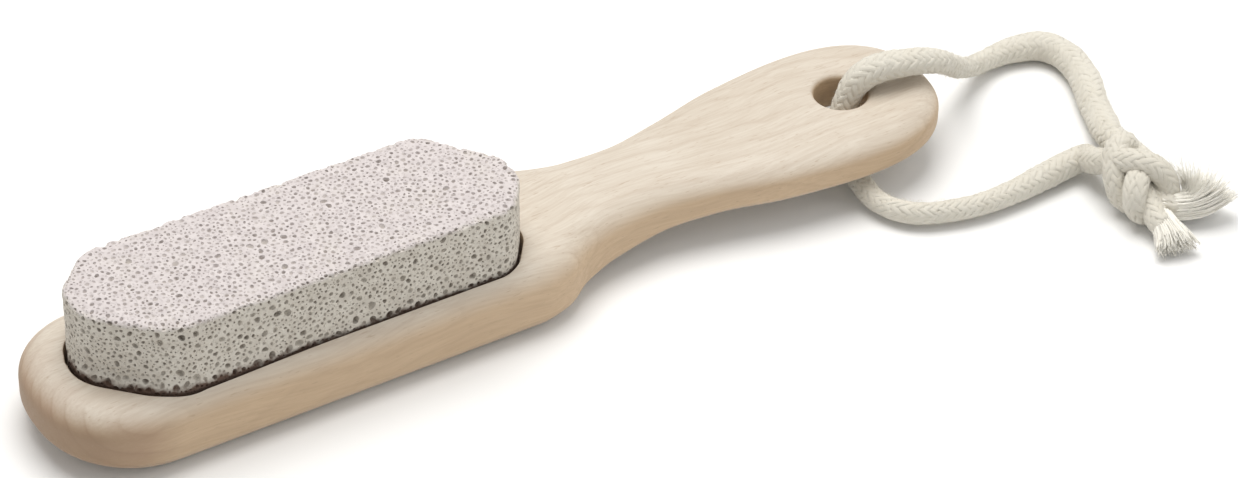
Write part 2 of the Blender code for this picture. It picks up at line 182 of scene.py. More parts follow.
def dressSurface(tree, shader, look, colour, height):
    tree.links.new(colour, shader.inputs["Base Color"])
    inputs = {"Height": height, "Strength": look["relief"], "Distance": look["reliefDepth"]}
    tree.links.new(addNode(tree, "ShaderNodeBump", inputs).outputs[0], shader.inputs["Normal"])


def newGroup(name, inputs, outputs):
    group = bpy.data.node_groups.new(name, "ShaderNodeTree")
    for label, kind, value in inputs:
        socket = group.interface.new_socket(name=label, in_out="INPUT", socket_type=kind)
        if value is not None:
            socket.default_value = value
    for label, kind in outputs:
        group.interface.new_socket(name=label, in_out="OUTPUT", socket_type=kind)
    entry = group.nodes.new("NodeGroupInput")
    leave = group.nodes.new("NodeGroupOutput")
    return group, entry.outputs, leave.inputs


def addPiece(name, mesh, material):
    piece = bpy.data.objects.new(name, mesh)
    bpy.context.scene.collection.objects.link(piece)
    mesh.materials.clear()
    mesh.materials.append(material)
    return piece


def closedMesh(bm, name):
    bmesh.ops.recalc_face_normals(bm, faces=bm.faces)
    mesh = bpy.data.meshes.new(name)
    bm.to_mesh(mesh)
    bm.free()
    return mesh


def bridge(bm, lower, upper):
    for i in range(len(lower)):
        j = (i + 1) % len(lower)
        bm.faces.new((lower[i], lower[j], upper[j], upper[i]))


def quarterTurns(steps, count):
    return [0.5 * math.pi * i / steps for i in range(count)]


def blend(value):
    value = min(max(value, 0.0), 1.0)
    return value * value * (3 - 2 * value)


# slow drift of tone, for anything that isn't one even colour
def makeSoftMottle():
    group, given, out = newGroup(
        "softMottle",
        [
            ("Vector", "NodeSocketVector", None),
            ("Scale", "NodeSocketFloat", 60.0),
            ("Colour", "NodeSocketColor", None),
            ("Other Colour", "NodeSocketColor", None),
            ("Amount", "NodeSocketFloat", 0.5),
        ],
        [("Color", "NodeSocketColor")],
    )
    cloud = noiseNode(group, given["Vector"], given["Scale"], 3.0, 0.55)[0]
    mask = rampNode(group, cloud, [(0.35, 0.0), (0.65, 1.0)])
    share = mathNode(group, "MULTIPLY", mask, given["Amount"])
    colour = mixColour(group, share, given["Colour"], given["Other Colour"])
    group.links.new(colour, out["Color"])
    return group


def mottled(tree, groups, place, scale, a, b, amount):
    inputs = {"Vector": place, "Scale": scale, "Colour": asColour(a), "Other Colour": asColour(b), "Amount": amount}
    return addNode(tree, "ShaderNodeGroup", inputs, node_tree=groups["softMottle"]).outputs["Color"]


# fine grit in two sizes, as a height for a bump and as a mask for specks
def makeFineGrit():
    group, given, out = newGroup(
        "fineGrit",
        [
            ("Vector", "NodeSocketVector", None),
            ("Scale", "NodeSocketFloat", 900.0),
            ("Speck Size", "NodeSocketFloat", 0.3),
        ],
        [("Height", "NodeSocketFloat"), ("Specks", "NodeSocketFloat")],
    )
    grain = noiseNode(group, given["Vector"], given["Scale"], 4.0, 0.7)[0]
    cells = addNode(group, "ShaderNodeTexVoronoi", {"Vector": given["Vector"], "Scale": given["Scale"]})
    below = mathNode(group, "SUBTRACT", given["Speck Size"], cells.outputs["Distance"])
    specks = mathNode(group, "MULTIPLY", below, 6.0, clamp=True)
    height = mathNode(group, "SUBTRACT", grain, specks)
    group.links.new(height, out["Height"])
    group.links.new(specks, out["Specks"])
    return group


handleShape = {
    "length": 210 * mm,
    "thickness": 15.75 * mm,
    "headHalfWidth": 20.6 * mm,
    "headEndRoundness": 2.3,
    "gripHalfWidth": 19.2 * mm,
    "gripEndStart": 185 * mm,
    "gripEndRoundness": 2.4,
    "topEdgeRound": 6.6 * mm,
    "bottomEdgeRound": 5.4 * mm,
    "gripBottomEdgeRound": 3.3 * mm,
    "shoulderAndNeck": [  # distance from the stone's end, half width, in mm
        (98, 20.6), (104, 20.6), (112, 19.0), (118.5, 15.0), (127, 12.5),
        (137.5, 11.7), (150, 13.6), (167, 17.5), (185, 19.2),
    ],
    "undersideLift": 6.8 * mm,
    "undersideLiftLength": 52 * mm,
    "headTipLift": 2.8 * mm,
    "headTipLiftLength": 24 * mm,
    "topLift": 0.6 * mm,
    "endSteps": 64,
    "straightSteps": 44,
    "neckStep": 1.0 * mm,
    "edgeSteps": 11,
    "recessDepth": 6.0 * mm,
    "recessGap": 0.7 * mm,
    "recessEase": 0.35 * mm,
    "recessStep": 1.2 * mm,
    "holeX": 84.2 * mm,
    "holeRadius": 5.7 * mm,
    "holeEaseTop": 1.3 * mm,
    "holeEaseBottom": 2.4 * mm,
    "holeSides": 72,
    "holeEaseSteps": 6,
}

handleFinish = {
    "pale": (0.66, 0.60, 0.515),
    "honey": (0.56, 0.485, 0.39),
    "sideShadeTone": (0.585, 0.42, 0.258),  # painted shade and warm reflected light on the sides and hole walls, where the faces turn down
    "ringLineAndTipShade": (0.335, 0.225, 0.14),
    "fleck": (0.40, 0.285, 0.19),
    "redHeart": (0.40, 0.25, 0.175),
    "ringSpacing": 2.9 * mm,
    "ringCentre": (0.0, 46 * mm, -34 * mm),
    "ringWobble": 1.5,  # rings
    "ringStops": [(0.0, 0.6), (0.14, 0.0), (0.55, 0.10), (0.86, 0.55), (0.95, 1.0)],  # darkness through one year
    "trunkLean": (0.0, 0.05, 0.035),
    "grainSway": (0.0, 12 * mm, 12 * mm),
    "fibreScale": (70.0, 1700.0, 1700.0),
    "fleckScale": (420.0, 3200.0, 3200.0),
    "honeyShare": 0.42,
    "sideShadeShare": 0.88,
    "streakShare": 0.22,
    "ringShare": (0.15, 0.75),  # everywhere, and how much more on the free end's side
    "heartShare": (0.16, 0.6),  # on the top, and how much more on the sides
    "tipShadeShare": 0.9,
    "fleckShare": 0.45,
    "heartStart": -81.67 * mm,  # along X: here the darker free end starts to show, and is full
    "heartFull": -98.33 * mm,
    "roughness": 0.55,
    "relief": 0.35,
    "reliefDepth": 0.12 * mm,
}


def monotoneCurve(stations):
    xs = [x * mm for x, _ in stations]
    ys = [y * mm for _, y in stations]
    steps = [b - a for a, b in zip(xs, xs[1:])]
    slopes = [(b - a) / h for a, b, h in zip(ys, ys[1:], steps)]
    tangents = [0.0]
    for before, after in zip(slopes, slopes[1:]):
        tangents.append(2 * before * after / (before + after) if before * after > 0 else 0.0)
    tangents.append(0.0)

    def value(x):
        i = max(j for j in range(len(steps)) if j == 0 or xs[j] <= x)
        h = steps[i]
        t = min(max((x - xs[i]) / h, 0.0), 1.0)
        rise = ys[i + 1] - ys[i]
        bend = h * tangents[i] * t * (1 - t) ** 2 + h * tangents[i + 1] * t * t * (t - 1)
        return ys[i] + rise * blend(t) + bend

    return value


def handleHalfOutline(shape):
    points = []
    halfWidth = shape["headHalfWidth"]
    power = 2 / shape["headEndRoundness"]
    for turn in quarterTurns(shape["endSteps"], shape["endSteps"]):
        points.append((halfWidth * (1 - math.cos(turn) ** power), halfWidth * math.sin(turn) ** power))
    straightEnd = shape["shoulderAndNeck"][1][0] * mm
    for i in range(shape["straightSteps"]):
        points.append((halfWidth + (straightEnd - halfWidth) * i / shape["straightSteps"], halfWidth))
    neck = monotoneCurve(shape["shoulderAndNeck"])
    steps = round((shape["gripEndStart"] - straightEnd) / shape["neckStep"])
    for i in range(steps):
        x = straightEnd + (shape["gripEndStart"] - straightEnd) * i / steps
        points.append((x, neck(x)))
    reach = shape["length"] - shape["gripEndStart"]
    power = 2 / shape["gripEndRoundness"]
    for turn in quarterTurns(shape["endSteps"], shape["endSteps"]):
        along = math.sin(turn) ** power
        points.append((shape["gripEndStart"] + reach * along, shape["gripHalfWidth"] * math.cos(turn) ** power))
    points.append((shape["length"], 0.0))
    return points


def movedRight(loop, distance):
    moved = []
    for i, here in enumerate(loop):
        along = (Vector(loop[(i + 1) % len(loop)]) - Vector(loop[i - 1])).normalized()
        moved.append(Vector(here) + Vector((along.y, -along.x)) * distance)
    return moved


def undersideAt(shape, x):
    fromTip = x + 0.5 * shape["length"]
    underGrip = shape["undersideLift"] * blend(x / shape["undersideLiftLength"])
    return underGrip + shape["headTipLift"] * blend(1 - fromTip / shape["headTipLiftLength"])


def topAt(shape, x):
    return shape["thickness"] + shape["topLift"] * max(x / (0.5 * shape["length"]), 0.0) ** 2


def edgeProfile(shape):
    steps = []
    count = shape["edgeSteps"]
    for turn in quarterTurns(count, count + 1):
        inBy = 1 - math.sin(turn)
        share = shape["bottomEdgeRound"] * (1 - math.cos(turn)) / shape["thickness"]
        steps.append((shape["bottomEdgeRound"] * inBy, shape["gripBottomEdgeRound"] * inBy, share))
    for turn in quarterTurns(count, count + 1):
        inBy = shape["topEdgeRound"] * (1 - math.cos(turn))
        steps.append((inBy, inBy, 1 - shape["topEdgeRound"] * (1 - math.sin(turn)) / shape["thickness"]))
    return steps


def handleBlank(shape):
    half = handleHalfOutline(shape)
    loop = half + [(x, -y) for x, y in reversed(half[1:-1])]
    count = len(loop)
    tip = len(half) - 1
    bm = bmesh.new()
    rings = []
    for headInset, gripInset, share in edgeProfile(shape):
        ring = []
        for place, a, b in zip(loop, movedRight(loop, headInset), movedRight(loop, gripInset)):
            along = blend((place[0] - 0.5 * shape["length"]) / shape["undersideLiftLength"])
            point = a.lerp(b, along)
            x = point.x - 0.5 * shape["length"]
            z = undersideAt(shape, x) * (1 - share) + topAt(shape, x) * share
            ring.append(bm.verts.new((x, point.y, z)))
        rings.append(ring)
    for lower, upper in zip(rings, rings[1:]):
        bridge(bm, lower, upper)
    for ring in (rings[0], rings[-1]):
        bm.faces.new((ring[-1], ring[0], ring[1]))
        for i in range(1, tip - 1):
            bm.faces.new((ring[i], ring[i + 1], ring[count - i - 1], ring[count - i]))
        bm.faces.new((ring[tip - 1], ring[tip], ring[tip + 1]))
    return closedMesh(bm, "handleBlank")


def stackedRings(name, rings):
    bm = bmesh.new()
    made = [[bm.verts.new(p) for p in ring] for ring in rings]
    for lower, upper in zip(made, made[1:]):
        bridge(bm, lower, upper)
    bm.faces.new(made[0])
    bm.faces.new(made[-1])
    return closedMesh(bm, name)


def recessCutter(shape):
    ease = shape["recessEase"]
    top = shape["thickness"]
    rings = []
    outline = stoneOutline(shape["recessStep"])
    profile = [
        (0, top - shape["recessDepth"]), (0, top - ease), (0.3 * ease, top - 0.3 * ease),
        (ease, top + 0.02 * mm), (ease + 2 * mm, top + 8 * mm),
    ]
    for grow, z in profile:
        ring = []
        for here, moved in zip(outline, movedRight(outline, mm)):
            away = (moved - here).normalized()
            here = here + away * (shape["recessGap"] + grow + flareAt(away, here.x))
            ring.append((here.x + pumiceShape["centreX"], here.y, z))
        rings.append(ring)
    return stackedRings("recessCutter", rings)


def holeCutter(shape):
    low = undersideAt(shape, shape["holeX"])
    high = topAt(shape, shape["holeX"])
    hole, steps = shape["holeRadius"], shape["holeEaseSteps"]
    easeLow, easeHigh = shape["holeEaseBottom"], shape["holeEaseTop"]
    profile = [(hole + easeLow + 2 * mm, low - 1 * mm)]
    for turn in quarterTurns(steps, steps + 1):
        profile.append((hole + easeLow * (1 - math.sin(turn)), low + easeLow * (1 - math.cos(turn))))
    for i in range(steps):
        turn = 0.5 * math.pi * (1 - i / (steps - 1))
        profile.append((hole + easeHigh * (1 - math.sin(turn)), high - easeHigh * (1 - math.cos(turn))))
    profile.append((hole + easeHigh + 2 * mm, high + 1 * mm))
    rings = []
    for radius, z in profile:
        turns = [2 * math.pi * i / shape["holeSides"] for i in range(shape["holeSides"])]
        rings.append([(shape["holeX"] + radius * math.cos(t), radius * math.sin(t), z) for t in turns])
    return stackedRings("holeCutter", rings)


def bakedModifiers(piece):
    seen = piece.evaluated_get(bpy.context.evaluated_depsgraph_get())
    mesh = bpy.data.meshes.new_from_object(seen)
    piece.modifiers.clear()
    piece.data = mesh


def makeWoodMaterial(groups):
    look = handleFinish
    material, tree, shader = newMaterial("paleWood", look["roughness"])
    place = addNode(tree, "ShaderNodeTexCoord").outputs["Object"]
    sway = noiseNode(tree, place, 22.0, 1.5)[1]
    sway = vectorMath(tree, "SUBTRACT", sway, (0.5, 0.5, 0.5))[0]
    sway = vectorMath(tree, "MULTIPLY", sway, look["grainSway"])[0]
    moved = vectorMath(tree, "ADD", place, sway)[0]
    trunk = addNode(
        tree, "ShaderNodeMapping",
        {"Vector": moved, "Location": tuple(-v for v in look["ringCentre"]), "Rotation": look["trunkLean"]},
    ).outputs[0]
    across = vectorMath(tree, "MULTIPLY", trunk, (0.0, 1.0, 1.0))[0]
    fromPith = vectorMath(tree, "LENGTH", across)[1]
    uneven = noiseNode(tree, place, 60.0, 2.0)[0]
    wobble = mathNode(tree, "MULTIPLY", uneven, look["ringWobble"])
    rings = mathNode(tree, "MULTIPLY_ADD", fromPith, 1 / look["ringSpacing"], wobble)
    ringMask = rampNode(tree, mathNode(tree, "FRACT", rings), look["ringStops"])
    # the stone's end shows darker, redder heartwood in a few growth rings
    spread = addNode(tree, "ShaderNodeSeparateXYZ", {0: place}).outputs
    toTip = fadeNode(tree, spread[0], look["heartStart"], look["heartFull"])
    heartCloud = noiseNode(tree, place, 70.0, 2.0)[0]
    heart = mathNode(tree, "MULTIPLY", toTip, rampNode(tree, heartCloud, [(0.42, 0.0), (0.62, 1.0)]))
    fibre = stretchedNoise(tree, moved, look["fibreScale"], 4.0, 0.62)
    streak = rampNode(tree, fibre, [(0.36, 0.0), (0.66, 1.0)])
    fleck = rampNode(tree, stretchedNoise(tree, place, look["fleckScale"], 1.0), [(0.66, 0.0), (0.74, 1.0)])
    base = mottled(tree, groups, moved, 34.0, look["pale"], look["honey"], look["honeyShare"])
    turned = stored(tree, "turnedDown")
    tipSide = mathNode(tree, "MULTIPLY", toTip, turned)
    ringLeast, ringMore = look["ringShare"]
    heartLeast, heartMore = look["heartShare"]
    ringShare = mathNode(tree, "MULTIPLY", ringMask, mathNode(tree, "MULTIPLY_ADD", tipSide, ringMore, ringLeast))
    heartShare = mathNode(tree, "MULTIPLY", heart, mathNode(tree, "MULTIPLY_ADD", turned, heartMore, heartLeast))
    # painted shade and warm reflected light on the sides and in the hole, by how far each face turns down
    base = tinted(tree, base, turned, look["sideShadeShare"], look["sideShadeTone"])
    base = tinted(tree, base, streak, look["streakShare"], look["ringLineAndTipShade"])
    base = mixColour(tree, ringShare, base, look["ringLineAndTipShade"])
    base = mixColour(tree, heartShare, base, look["redHeart"])
    # painted shade on the free end's sides, laid in the dark ring-line colour
    base = tinted(tree, base, tipSide, look["tipShadeShare"], look["ringLineAndTipShade"])
    base = tinted(tree, base, fleck, look["fleckShare"], look["fleck"])
    rough = mathNode(tree, "MULTIPLY_ADD", streak, 0.12, look["roughness"] - 0.04)
    tree.links.new(rough, shader.inputs["Roughness"])
    height = mathNode(tree, "SUBTRACT", fibre, mathNode(tree, "MULTIPLY", fleck, 0.4))
    dressSurface(tree, shader, look, base, height)
    return material


def buildHandle(groups):
    wood = makeWoodMaterial(groups)
    handle = addPiece("woodHandle", handleBlank(handleShape), wood)
    tools = [
        addPiece("recessTool", recessCutter(handleShape), wood),
        addPiece("holeTool", holeCutter(handleShape), wood),
    ]
    for tool in tools:
        cut = handle.modifiers.new(tool.name, "BOOLEAN")
        cut.operation = "DIFFERENCE"
        cut.solver = "EXACT"
        cut.object = tool
    bakedModifiers(handle)
    for tool in tools:
        bpy.data.objects.remove(tool)
    turned = [blend(1.25 - 1.25 * abs(v.normal.z)) for v in handle.data.vertices]  # 1 on the sides
    handle.data.attributes.new("turnedDown", "FLOAT", "POINT").data.foreach_set("value", turned)
    handle.data.shade_smooth()
    handle.data.set_sharp_from_angle(angle=math.radians(32))
    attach(handle, "root")
    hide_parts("handle")
    print("wooden handle:", len(handle.data.polygons), "faces")


pumiceShape = {
    "centreX": -46.0 * mm,
    "top": 31.0 * mm,
    "topTone": 0.91 * mm,  # the top's colour begins this far below it
    "bottom": 10.05 * mm,
    "woodTop": 15.75 * mm,
    "corners": [  # mm, counterclockwise from the neck end, each with its rounding
        (47.3, -7.5, 7), (47.3, 0.5, 6), (35.5, 15.4, 7), (-39.5, 15.6, 8),
        (-48.6, 6.5, 8), (-48.7, -2.4, 11), (-35.6, -15.8, 15), (41.0, -16.0, 7),
    ],
    "cornerSteps": 16,
    "flare": 1.2 * mm,  # the crumbled foot of the stone reaches out here, at its free end
    "flareTowards": (-0.70, -0.71),
    "flareSpread": 0.45,  # how far round from that direction: the cosine where the flare ends
    "flareFade": 32 * mm,
    "flareHeight": 2.6 * mm,
    "outlineStep": 0.5 * mm,
    "edgeWorn": 0.85 * mm,  # radius of the worn edge round the top
    "edgeMargin": 1.5 * mm,  # how far the side's sheet goes on over the top
    "edgeChips": 0.6 * mm,
    "chipScales": ((620.0, 1.8, (3, 1, 7)), (1500.0, 0.9, (0, 0, 0))),  # waves per metre, share, where they start
    "chipsFrom": 0.1,  # only where the waves are higher than this
    "unevenness": 0.20 * mm,
    "unevenScales": ((130.0, 1.0), (420.0, 0.5), (1150.0, 0.4)),  # waves per metre, share
    "wall": 0.08 * mm,
    "seamSteps": 40,
    "sideGrid": 0.62 * mm,  # loose points between the pits
    "edgeGrid": 0.34 * mm,
    "topGrid": 0.70 * mm,
    "seed": 11,
    # least radius, most radius, how many are tried for, sides, rings
    "topPits": [(0.55, 0.8, 40, 11, 2), (0.40, 0.55, 620, 9, 1), (0.28, 0.40, 950, 8, 1), (0.17, 0.28, 1000, 6, 1)],
    "marginPits": [(0.42, 0.6, 60, 10, 2), (0.28, 0.42, 210, 8, 1), (0.17, 0.28, 200, 6, 1)],
    "sidePits": [(0.75, 0.98, 16, 13, 3), (0.5, 0.75, 230, 11, 2), (0.32, 0.5, 1100, 9, 1), (0.18, 0.32, 1300, 6, 1)],
    "seamPits": [(0.5, 0.95, 120, 10, 2), (0.3, 0.5, 160, 8, 1)],  # where the stone crumbled against the wood
    "seamBand": (-0.3, 2.0),  # mm above the wood
    "seamLeast": 0.3,  # how dense they are at the neck's end, rising to 1 at the free end
    "seamMoreFrom": 10 * mm,
    "seamMoreOver": 30 * mm,
    "pitsBelowWood": 1.2 * mm,
    "topHalf": (50 * mm, 17 * mm),  # the pits on top are drawn within this
    "topDepth": (0.6, 1.2),  # pit depth over radius
    "sideDepth": (0.85, 1.5),
}


def roundedPolygon(corners, steps):
    points = []
    for i, (x, y, radius) in enumerate(corners):
        here = Vector((x, y))
        back = (Vector(corners[i - 1][:2]) - here).normalized()
        ahead = (Vector(corners[(i + 1) % len(corners)][:2]) - here).normalized()
        halfAngle = 0.5 * back.angle(ahead)
        centre = here + (back + ahead).normalized() * radius / math.sin(halfAngle)
        start = here + back * radius / math.tan(halfAngle) - centre
        for k in range(steps + 1):
            turn = (math.pi - 2 * halfAngle) * k / steps
            cos, sin = math.cos(turn), math.sin(turn)
            points.append(centre + Vector((start.x * cos - start.y * sin, start.x * sin + start.y * cos)))
    return points


def stoneOutline(step):
    corners = [(x * mm, y * mm, radius * mm) for x, y, radius in pumiceShape["corners"]]
    rounded = roundedPolygon(corners, pumiceShape["cornerSteps"])
    points = []
    for i, here in enumerate(rounded):
        ahead = rounded[(i + 1) % len(rounded)]
        parts = max(1, round((ahead - here).length / step))
        points += [here.lerp(ahead, k / parts) for k in range(parts)]
    return points


def flareAt(away, x):
    shape = pumiceShape
    towards = away[0] * shape["flareTowards"][0] + away[1] * shape["flareTowards"][1]
    spread = shape["flareSpread"]
    return shape["flare"] * blend((towards - spread) / (1 - spread)) * blend(-x / shape["flareFade"])


class PitField:
    # open pits that keep clear of each other on one flat sheet
    def __init__(self, rng, wall):
        self.rng = rng
        self.wall = wall
        self.cell = 3 * mm
        self.cells = {}
        self.pits = []

    def cellOf(self, place):
        return int(place[0] // self.cell), int(place[1] // self.cell)

    def clear(self, centre, radius):
        col, row = self.cellOf(centre)
        for i in (col - 1, col, col + 1):
            for j in (row - 1, row, row + 1):
                for other, size in self.cells.get((i, j), ()):
                    gap = radius + size + self.wall
                    if (centre[0] - other[0]) ** 2 + (centre[1] - other[1]) ** 2 < gap * gap:
                        return False
        return True

    def scatter(self, sizes, depths, drawPlace, fits):
        for least, most, count, sides, rings in sizes:
            placed = 0
            for _ in range(count * 12):
                radius = mm * (least + (most - least) * self.rng.random() ** 1.6)
                centre = drawPlace(self.rng)
                if fits(centre, radius * 1.2) and self.clear(centre, radius * 1.2):
                    tone = 0.35 + 0.65 * self.rng.random() ** 1.4
                    depth = radius * self.rng.uniform(*depths) * (0.6 + 0.4 * tone)
                    self.pits.append((centre, radius, sides, rings, depth, tone))
                    self.cells.setdefault(self.cellOf(centre), []).append((centre, radius * 1.2))
                    placed += 1
                    if placed == count:
                        break

    def loosePoints(self, step, low, high, fits):
        points = []
        for i in range(int((high[0] - low[0]) / step)):
            for j in range(int((high[1] - low[1]) / step)):
                x = low[0] + step * (i + 0.5 + self.rng.uniform(-0.35, 0.35))
                y = low[1] + step * (j + 0.5 + self.rng.uniform(-0.35, 0.35))
                if fits((x, y), 0.3 * step) and self.clear((x, y), 0.0):
                    points.append(Vector((x, y)))
        return points


def pitRim(rng, centre, radius, sides):
    lean, start = rng.random() * math.pi, rng.random() * math.pi
    twoLobes, threeLobes = rng.uniform(0.05, 0.24), rng.uniform(0.0, 0.12)
    rim = []
    for i in range(sides):
        turn = start + 2 * math.pi * (i + rng.uniform(-0.2, 0.2)) / sides
        size = 1 + twoLobes * math.cos(2 * turn) + threeLobes * math.sin(3 * turn)
        size *= rng.uniform(0.92, 1.05)
        rim.append(Vector((math.cos(turn + lean) * size, math.sin(turn + lean) * size)))
    furthest = max(point.length for point in rim)
    return [Vector(centre) + point * (1.18 * radius / furthest) for point in rim]


def pittedSheet(bm, depthLayer, rng, border, borderVerts, pits, loosePoints, place):
    coords = list(border)
    loops = [list(range(len(border)))]
    rims = [pitRim(rng, pit[0], pit[1], pit[2]) for pit in pits]
    for rim in rims:
        loops.append(list(range(len(coords), len(coords) + len(rim))))
        coords += rim
    flat, _, faces, sources, _, holders = delaunay_2d_cdt(coords + loosePoints, [], loops, 0, 1e-8)
    made = {}
    for face, held in zip(faces, holders):
        if held != [0]:
            continue
        for i in face:
            if i not in made:
                first = sources[i][0] if sources[i] else len(coords)
                made[i] = borderVerts[first] if first < len(border) else bm.verts.new(place(flat[i], 0.0))
        corners = [made[i] for i in face]
        if len(set(corners)) == 3:
            bm.faces.new(corners)
    bySource = {source: made[i] for i, ids in enumerate(sources) if i in made for source in ids}
    for loop, rim, (centre, radius, sides, rings, depth, tone) in zip(loops[1:], rims, pits):
        ring = [bySource[i] for i in loop if i in bySource]
        if len(set(ring)) < sides:
            continue
        middle = Vector(centre)
        middle += Vector((rng.uniform(-0.2, 0.2), rng.uniform(-0.2, 0.2))) * radius
        for k in range(rings):
            turn = 0.5 * math.pi * (k + 1) / (rings + 1)
            down = depth * math.sin(turn) ** 1.6
            inner = []
            for corner in rim:
                point = middle.lerp(corner, math.cos(turn) * rng.uniform(0.92, 1.1))
                vert = bm.verts.new(place(point, down * rng.uniform(0.88, 1.1)))
                vert[depthLayer] = tone * math.sin(turn)
                inner.append(vert)
            bridge(bm, ring, inner)
            ring = inner
        low = bm.verts.new(place(middle, depth))
        low[depthLayer] = tone
        for i in range(sides):
            bm.faces.new((ring[i], ring[(i + 1) % sides], low))


def unevenStone(position, outward):
    sway = sum(share * noise.noise(position * scale) for scale, share in pumiceShape["unevenScales"])
    return position + outward * sway * pumiceShape["unevenness"]


def edgeChip(position, overEdge):
    shape = pumiceShape
    deep = 0.0
    for scale, share, start in shape["chipScales"]:
        deep += share * max(noise.noise(position * scale + Vector(start)) - shape["chipsFrom"], 0.0)
    return shape["edgeChips"] * deep * math.exp(-((overEdge / mm) ** 2))


class StoneSkin:
    # places on the stone, read round its outline and up its side, or straight across its top
    def __init__(self):
        shape = pumiceShape
        self.outline = stoneOutline(shape["outlineStep"])
        self.outward = [(q - p).normalized() for p, q in zip(self.outline, movedRight(self.outline, mm))]
        self.lengths = [(q - p).length for p, q in zip(self.outline, self.outline[1:] + self.outline[:1])]
        self.starts = np.concatenate([[0.0], np.cumsum(self.lengths)])
        self.around = float(self.starts[-1])
        self.edgeStart = shape["top"] - shape["edgeWorn"]
        self.edgeEnd = self.edgeStart + 0.5 * math.pi * shape["edgeWorn"]
        self.sheetEnd = self.edgeEnd + shape["edgeMargin"]
        self.shift = Vector((shape["centreX"], 0, 0))

    def partAt(self, along):
        return int(np.searchsorted(self.starts, along, side="right")) - 1

    def onTop(self, point, depth):
        flat = Vector((point[0], point[1], pumiceShape["top"]))
        return unevenStone(flat, Vector((0, 0, 1))) - Vector((0, 0, depth)) + self.shift

    def onSide(self, point, depth):
        shape, worn = pumiceShape, pumiceShape["edgeWorn"]
        along = min(max(point[0], 0.0), self.around - 1e-9)
        i = self.partAt(along)
        j = (i + 1) % len(self.outline)
        t = (along - self.starts[i]) / self.lengths[i]
        here = self.outline[i].lerp(self.outline[j], t)
        away = self.outward[i].lerp(self.outward[j], t).normalized()
        turn = min(max((point[1] - self.edgeStart) / worn, 0.0), 0.5 * math.pi)
        inset = worn * (1 - math.cos(turn)) + max(point[1] - self.edgeEnd, 0.0)
        height = min(point[1], self.edgeStart) + worn * math.sin(turn)
        spot = Vector((here.x - away.x * inset, here.y - away.y * inset, height))
        normal = Vector((away.x * math.cos(turn), away.y * math.cos(turn), math.sin(turn)))
        chip = edgeChip(spot, point[1] - 0.5 * (self.edgeStart + self.edgeEnd))
        flareTop = shape["woodTop"] + shape["flareHeight"]
        foot = flareAt(away, here.x) * blend((flareTop - height) / shape["flareHeight"])
        return unevenStone(spot, normal) + normal * (foot - depth - chip) + self.shift


def coverSide(bm, depthLayer, rng, skin):
    shape = pumiceShape
    around, starts, bottom = skin.around, skin.starts, shape["bottom"]
    edgeStart, edgeEnd, sheetEnd = skin.edgeStart, skin.edgeEnd, skin.sheetEnd
    sideLow = [bm.verts.new(skin.onSide((s, bottom), 0.0)) for s in starts[:-1]]
    topRing = [bm.verts.new(skin.onSide((s, sheetEnd), 0.0)) for s in starts[:-1]]
    seamHeights = [bottom + (sheetEnd - bottom) * k / shape["seamSteps"] for k in range(1, shape["seamSteps"])]
    seam = [bm.verts.new(skin.onSide((0.0, t), 0.0)) for t in seamHeights]
    bm.faces.new(sideLow)
    border = [Vector((s, bottom)) for s in starts] + [Vector((around, t)) for t in seamHeights]
    border += [Vector((s, sheetEnd)) for s in reversed(starts)] + [Vector((0.0, t)) for t in reversed(seamHeights)]
    borderVerts = sideLow + sideLow[:1] + seam + topRing[:1] + topRing[::-1] + seam[::-1]
    low = shape["woodTop"] - shape["pitsBelowWood"]

    def within(least, most):
        def fits(centre, clearance):
            return clearance < centre[0] < around - clearance and least + clearance < centre[1] < most - clearance
        return fits

    def draw(least, most):
        return lambda r: (r.uniform(0.0, around), r.uniform(least, most))

    def drawSeam(r):
        least = shape["seamLeast"]
        while True:
            along = r.uniform(0.0, around)
            x = skin.outline[skin.partAt(along)].x
            if r.random() < least + (1 - least) * blend((-x - shape["seamMoreFrom"]) / shape["seamMoreOver"]):
                return along, shape["woodTop"] + r.uniform(*shape["seamBand"]) * mm

    field = PitField(rng, shape["wall"])
    field.scatter(shape["seamPits"], shape["sideDepth"], drawSeam, within(low, sheetEnd))
    field.scatter(shape["sidePits"], shape["sideDepth"], draw(low, edgeEnd), within(low, edgeEnd + 0.2 * mm))
    field.scatter(shape["marginPits"], shape["topDepth"], draw(edgeStart, sheetEnd), within(edgeStart, sheetEnd))
    finer = edgeStart - mm
    loose = field.loosePoints(shape["sideGrid"], (0.0, low), (around, finer), within(low, sheetEnd))
    loose += field.loosePoints(shape["edgeGrid"], (0.0, finer), (around, sheetEnd), within(low, sheetEnd))
    pittedSheet(bm, depthLayer, rng, border, borderVerts, field.pits, loose, skin.onSide)
    print("side pits:", len(field.pits))
    return topRing


def coverTop(bm, depthLayer, rng, skin, topRing):
    shape = pumiceShape
    inside = shape["edgeWorn"] + shape["edgeMargin"]
    outline = list(zip(skin.outline, skin.outward))
    edges = outline[::6]
    halfLong, halfWide = shape["topHalf"]

    def fits(centre, clearance):
        reach = clearance + inside
        return all((here.x - centre[0]) * away.x + (here.y - centre[1]) * away.y > reach for here, away in edges)

    def draw(r):
        return r.uniform(-halfLong, halfLong), r.uniform(-halfWide, halfWide)

    field = PitField(rng, shape["wall"])
    field.scatter(shape["topPits"], shape["topDepth"], draw, fits)
    loose = field.loosePoints(shape["topGrid"], (-halfLong, -halfWide), (halfLong, halfWide), fits)
    border = [here - away * inside for here, away in outline]
    pittedSheet(bm, depthLayer, rng, border, topRing, field.pits, loose, skin.onTop)
    print("top pits:", len(field.pits))


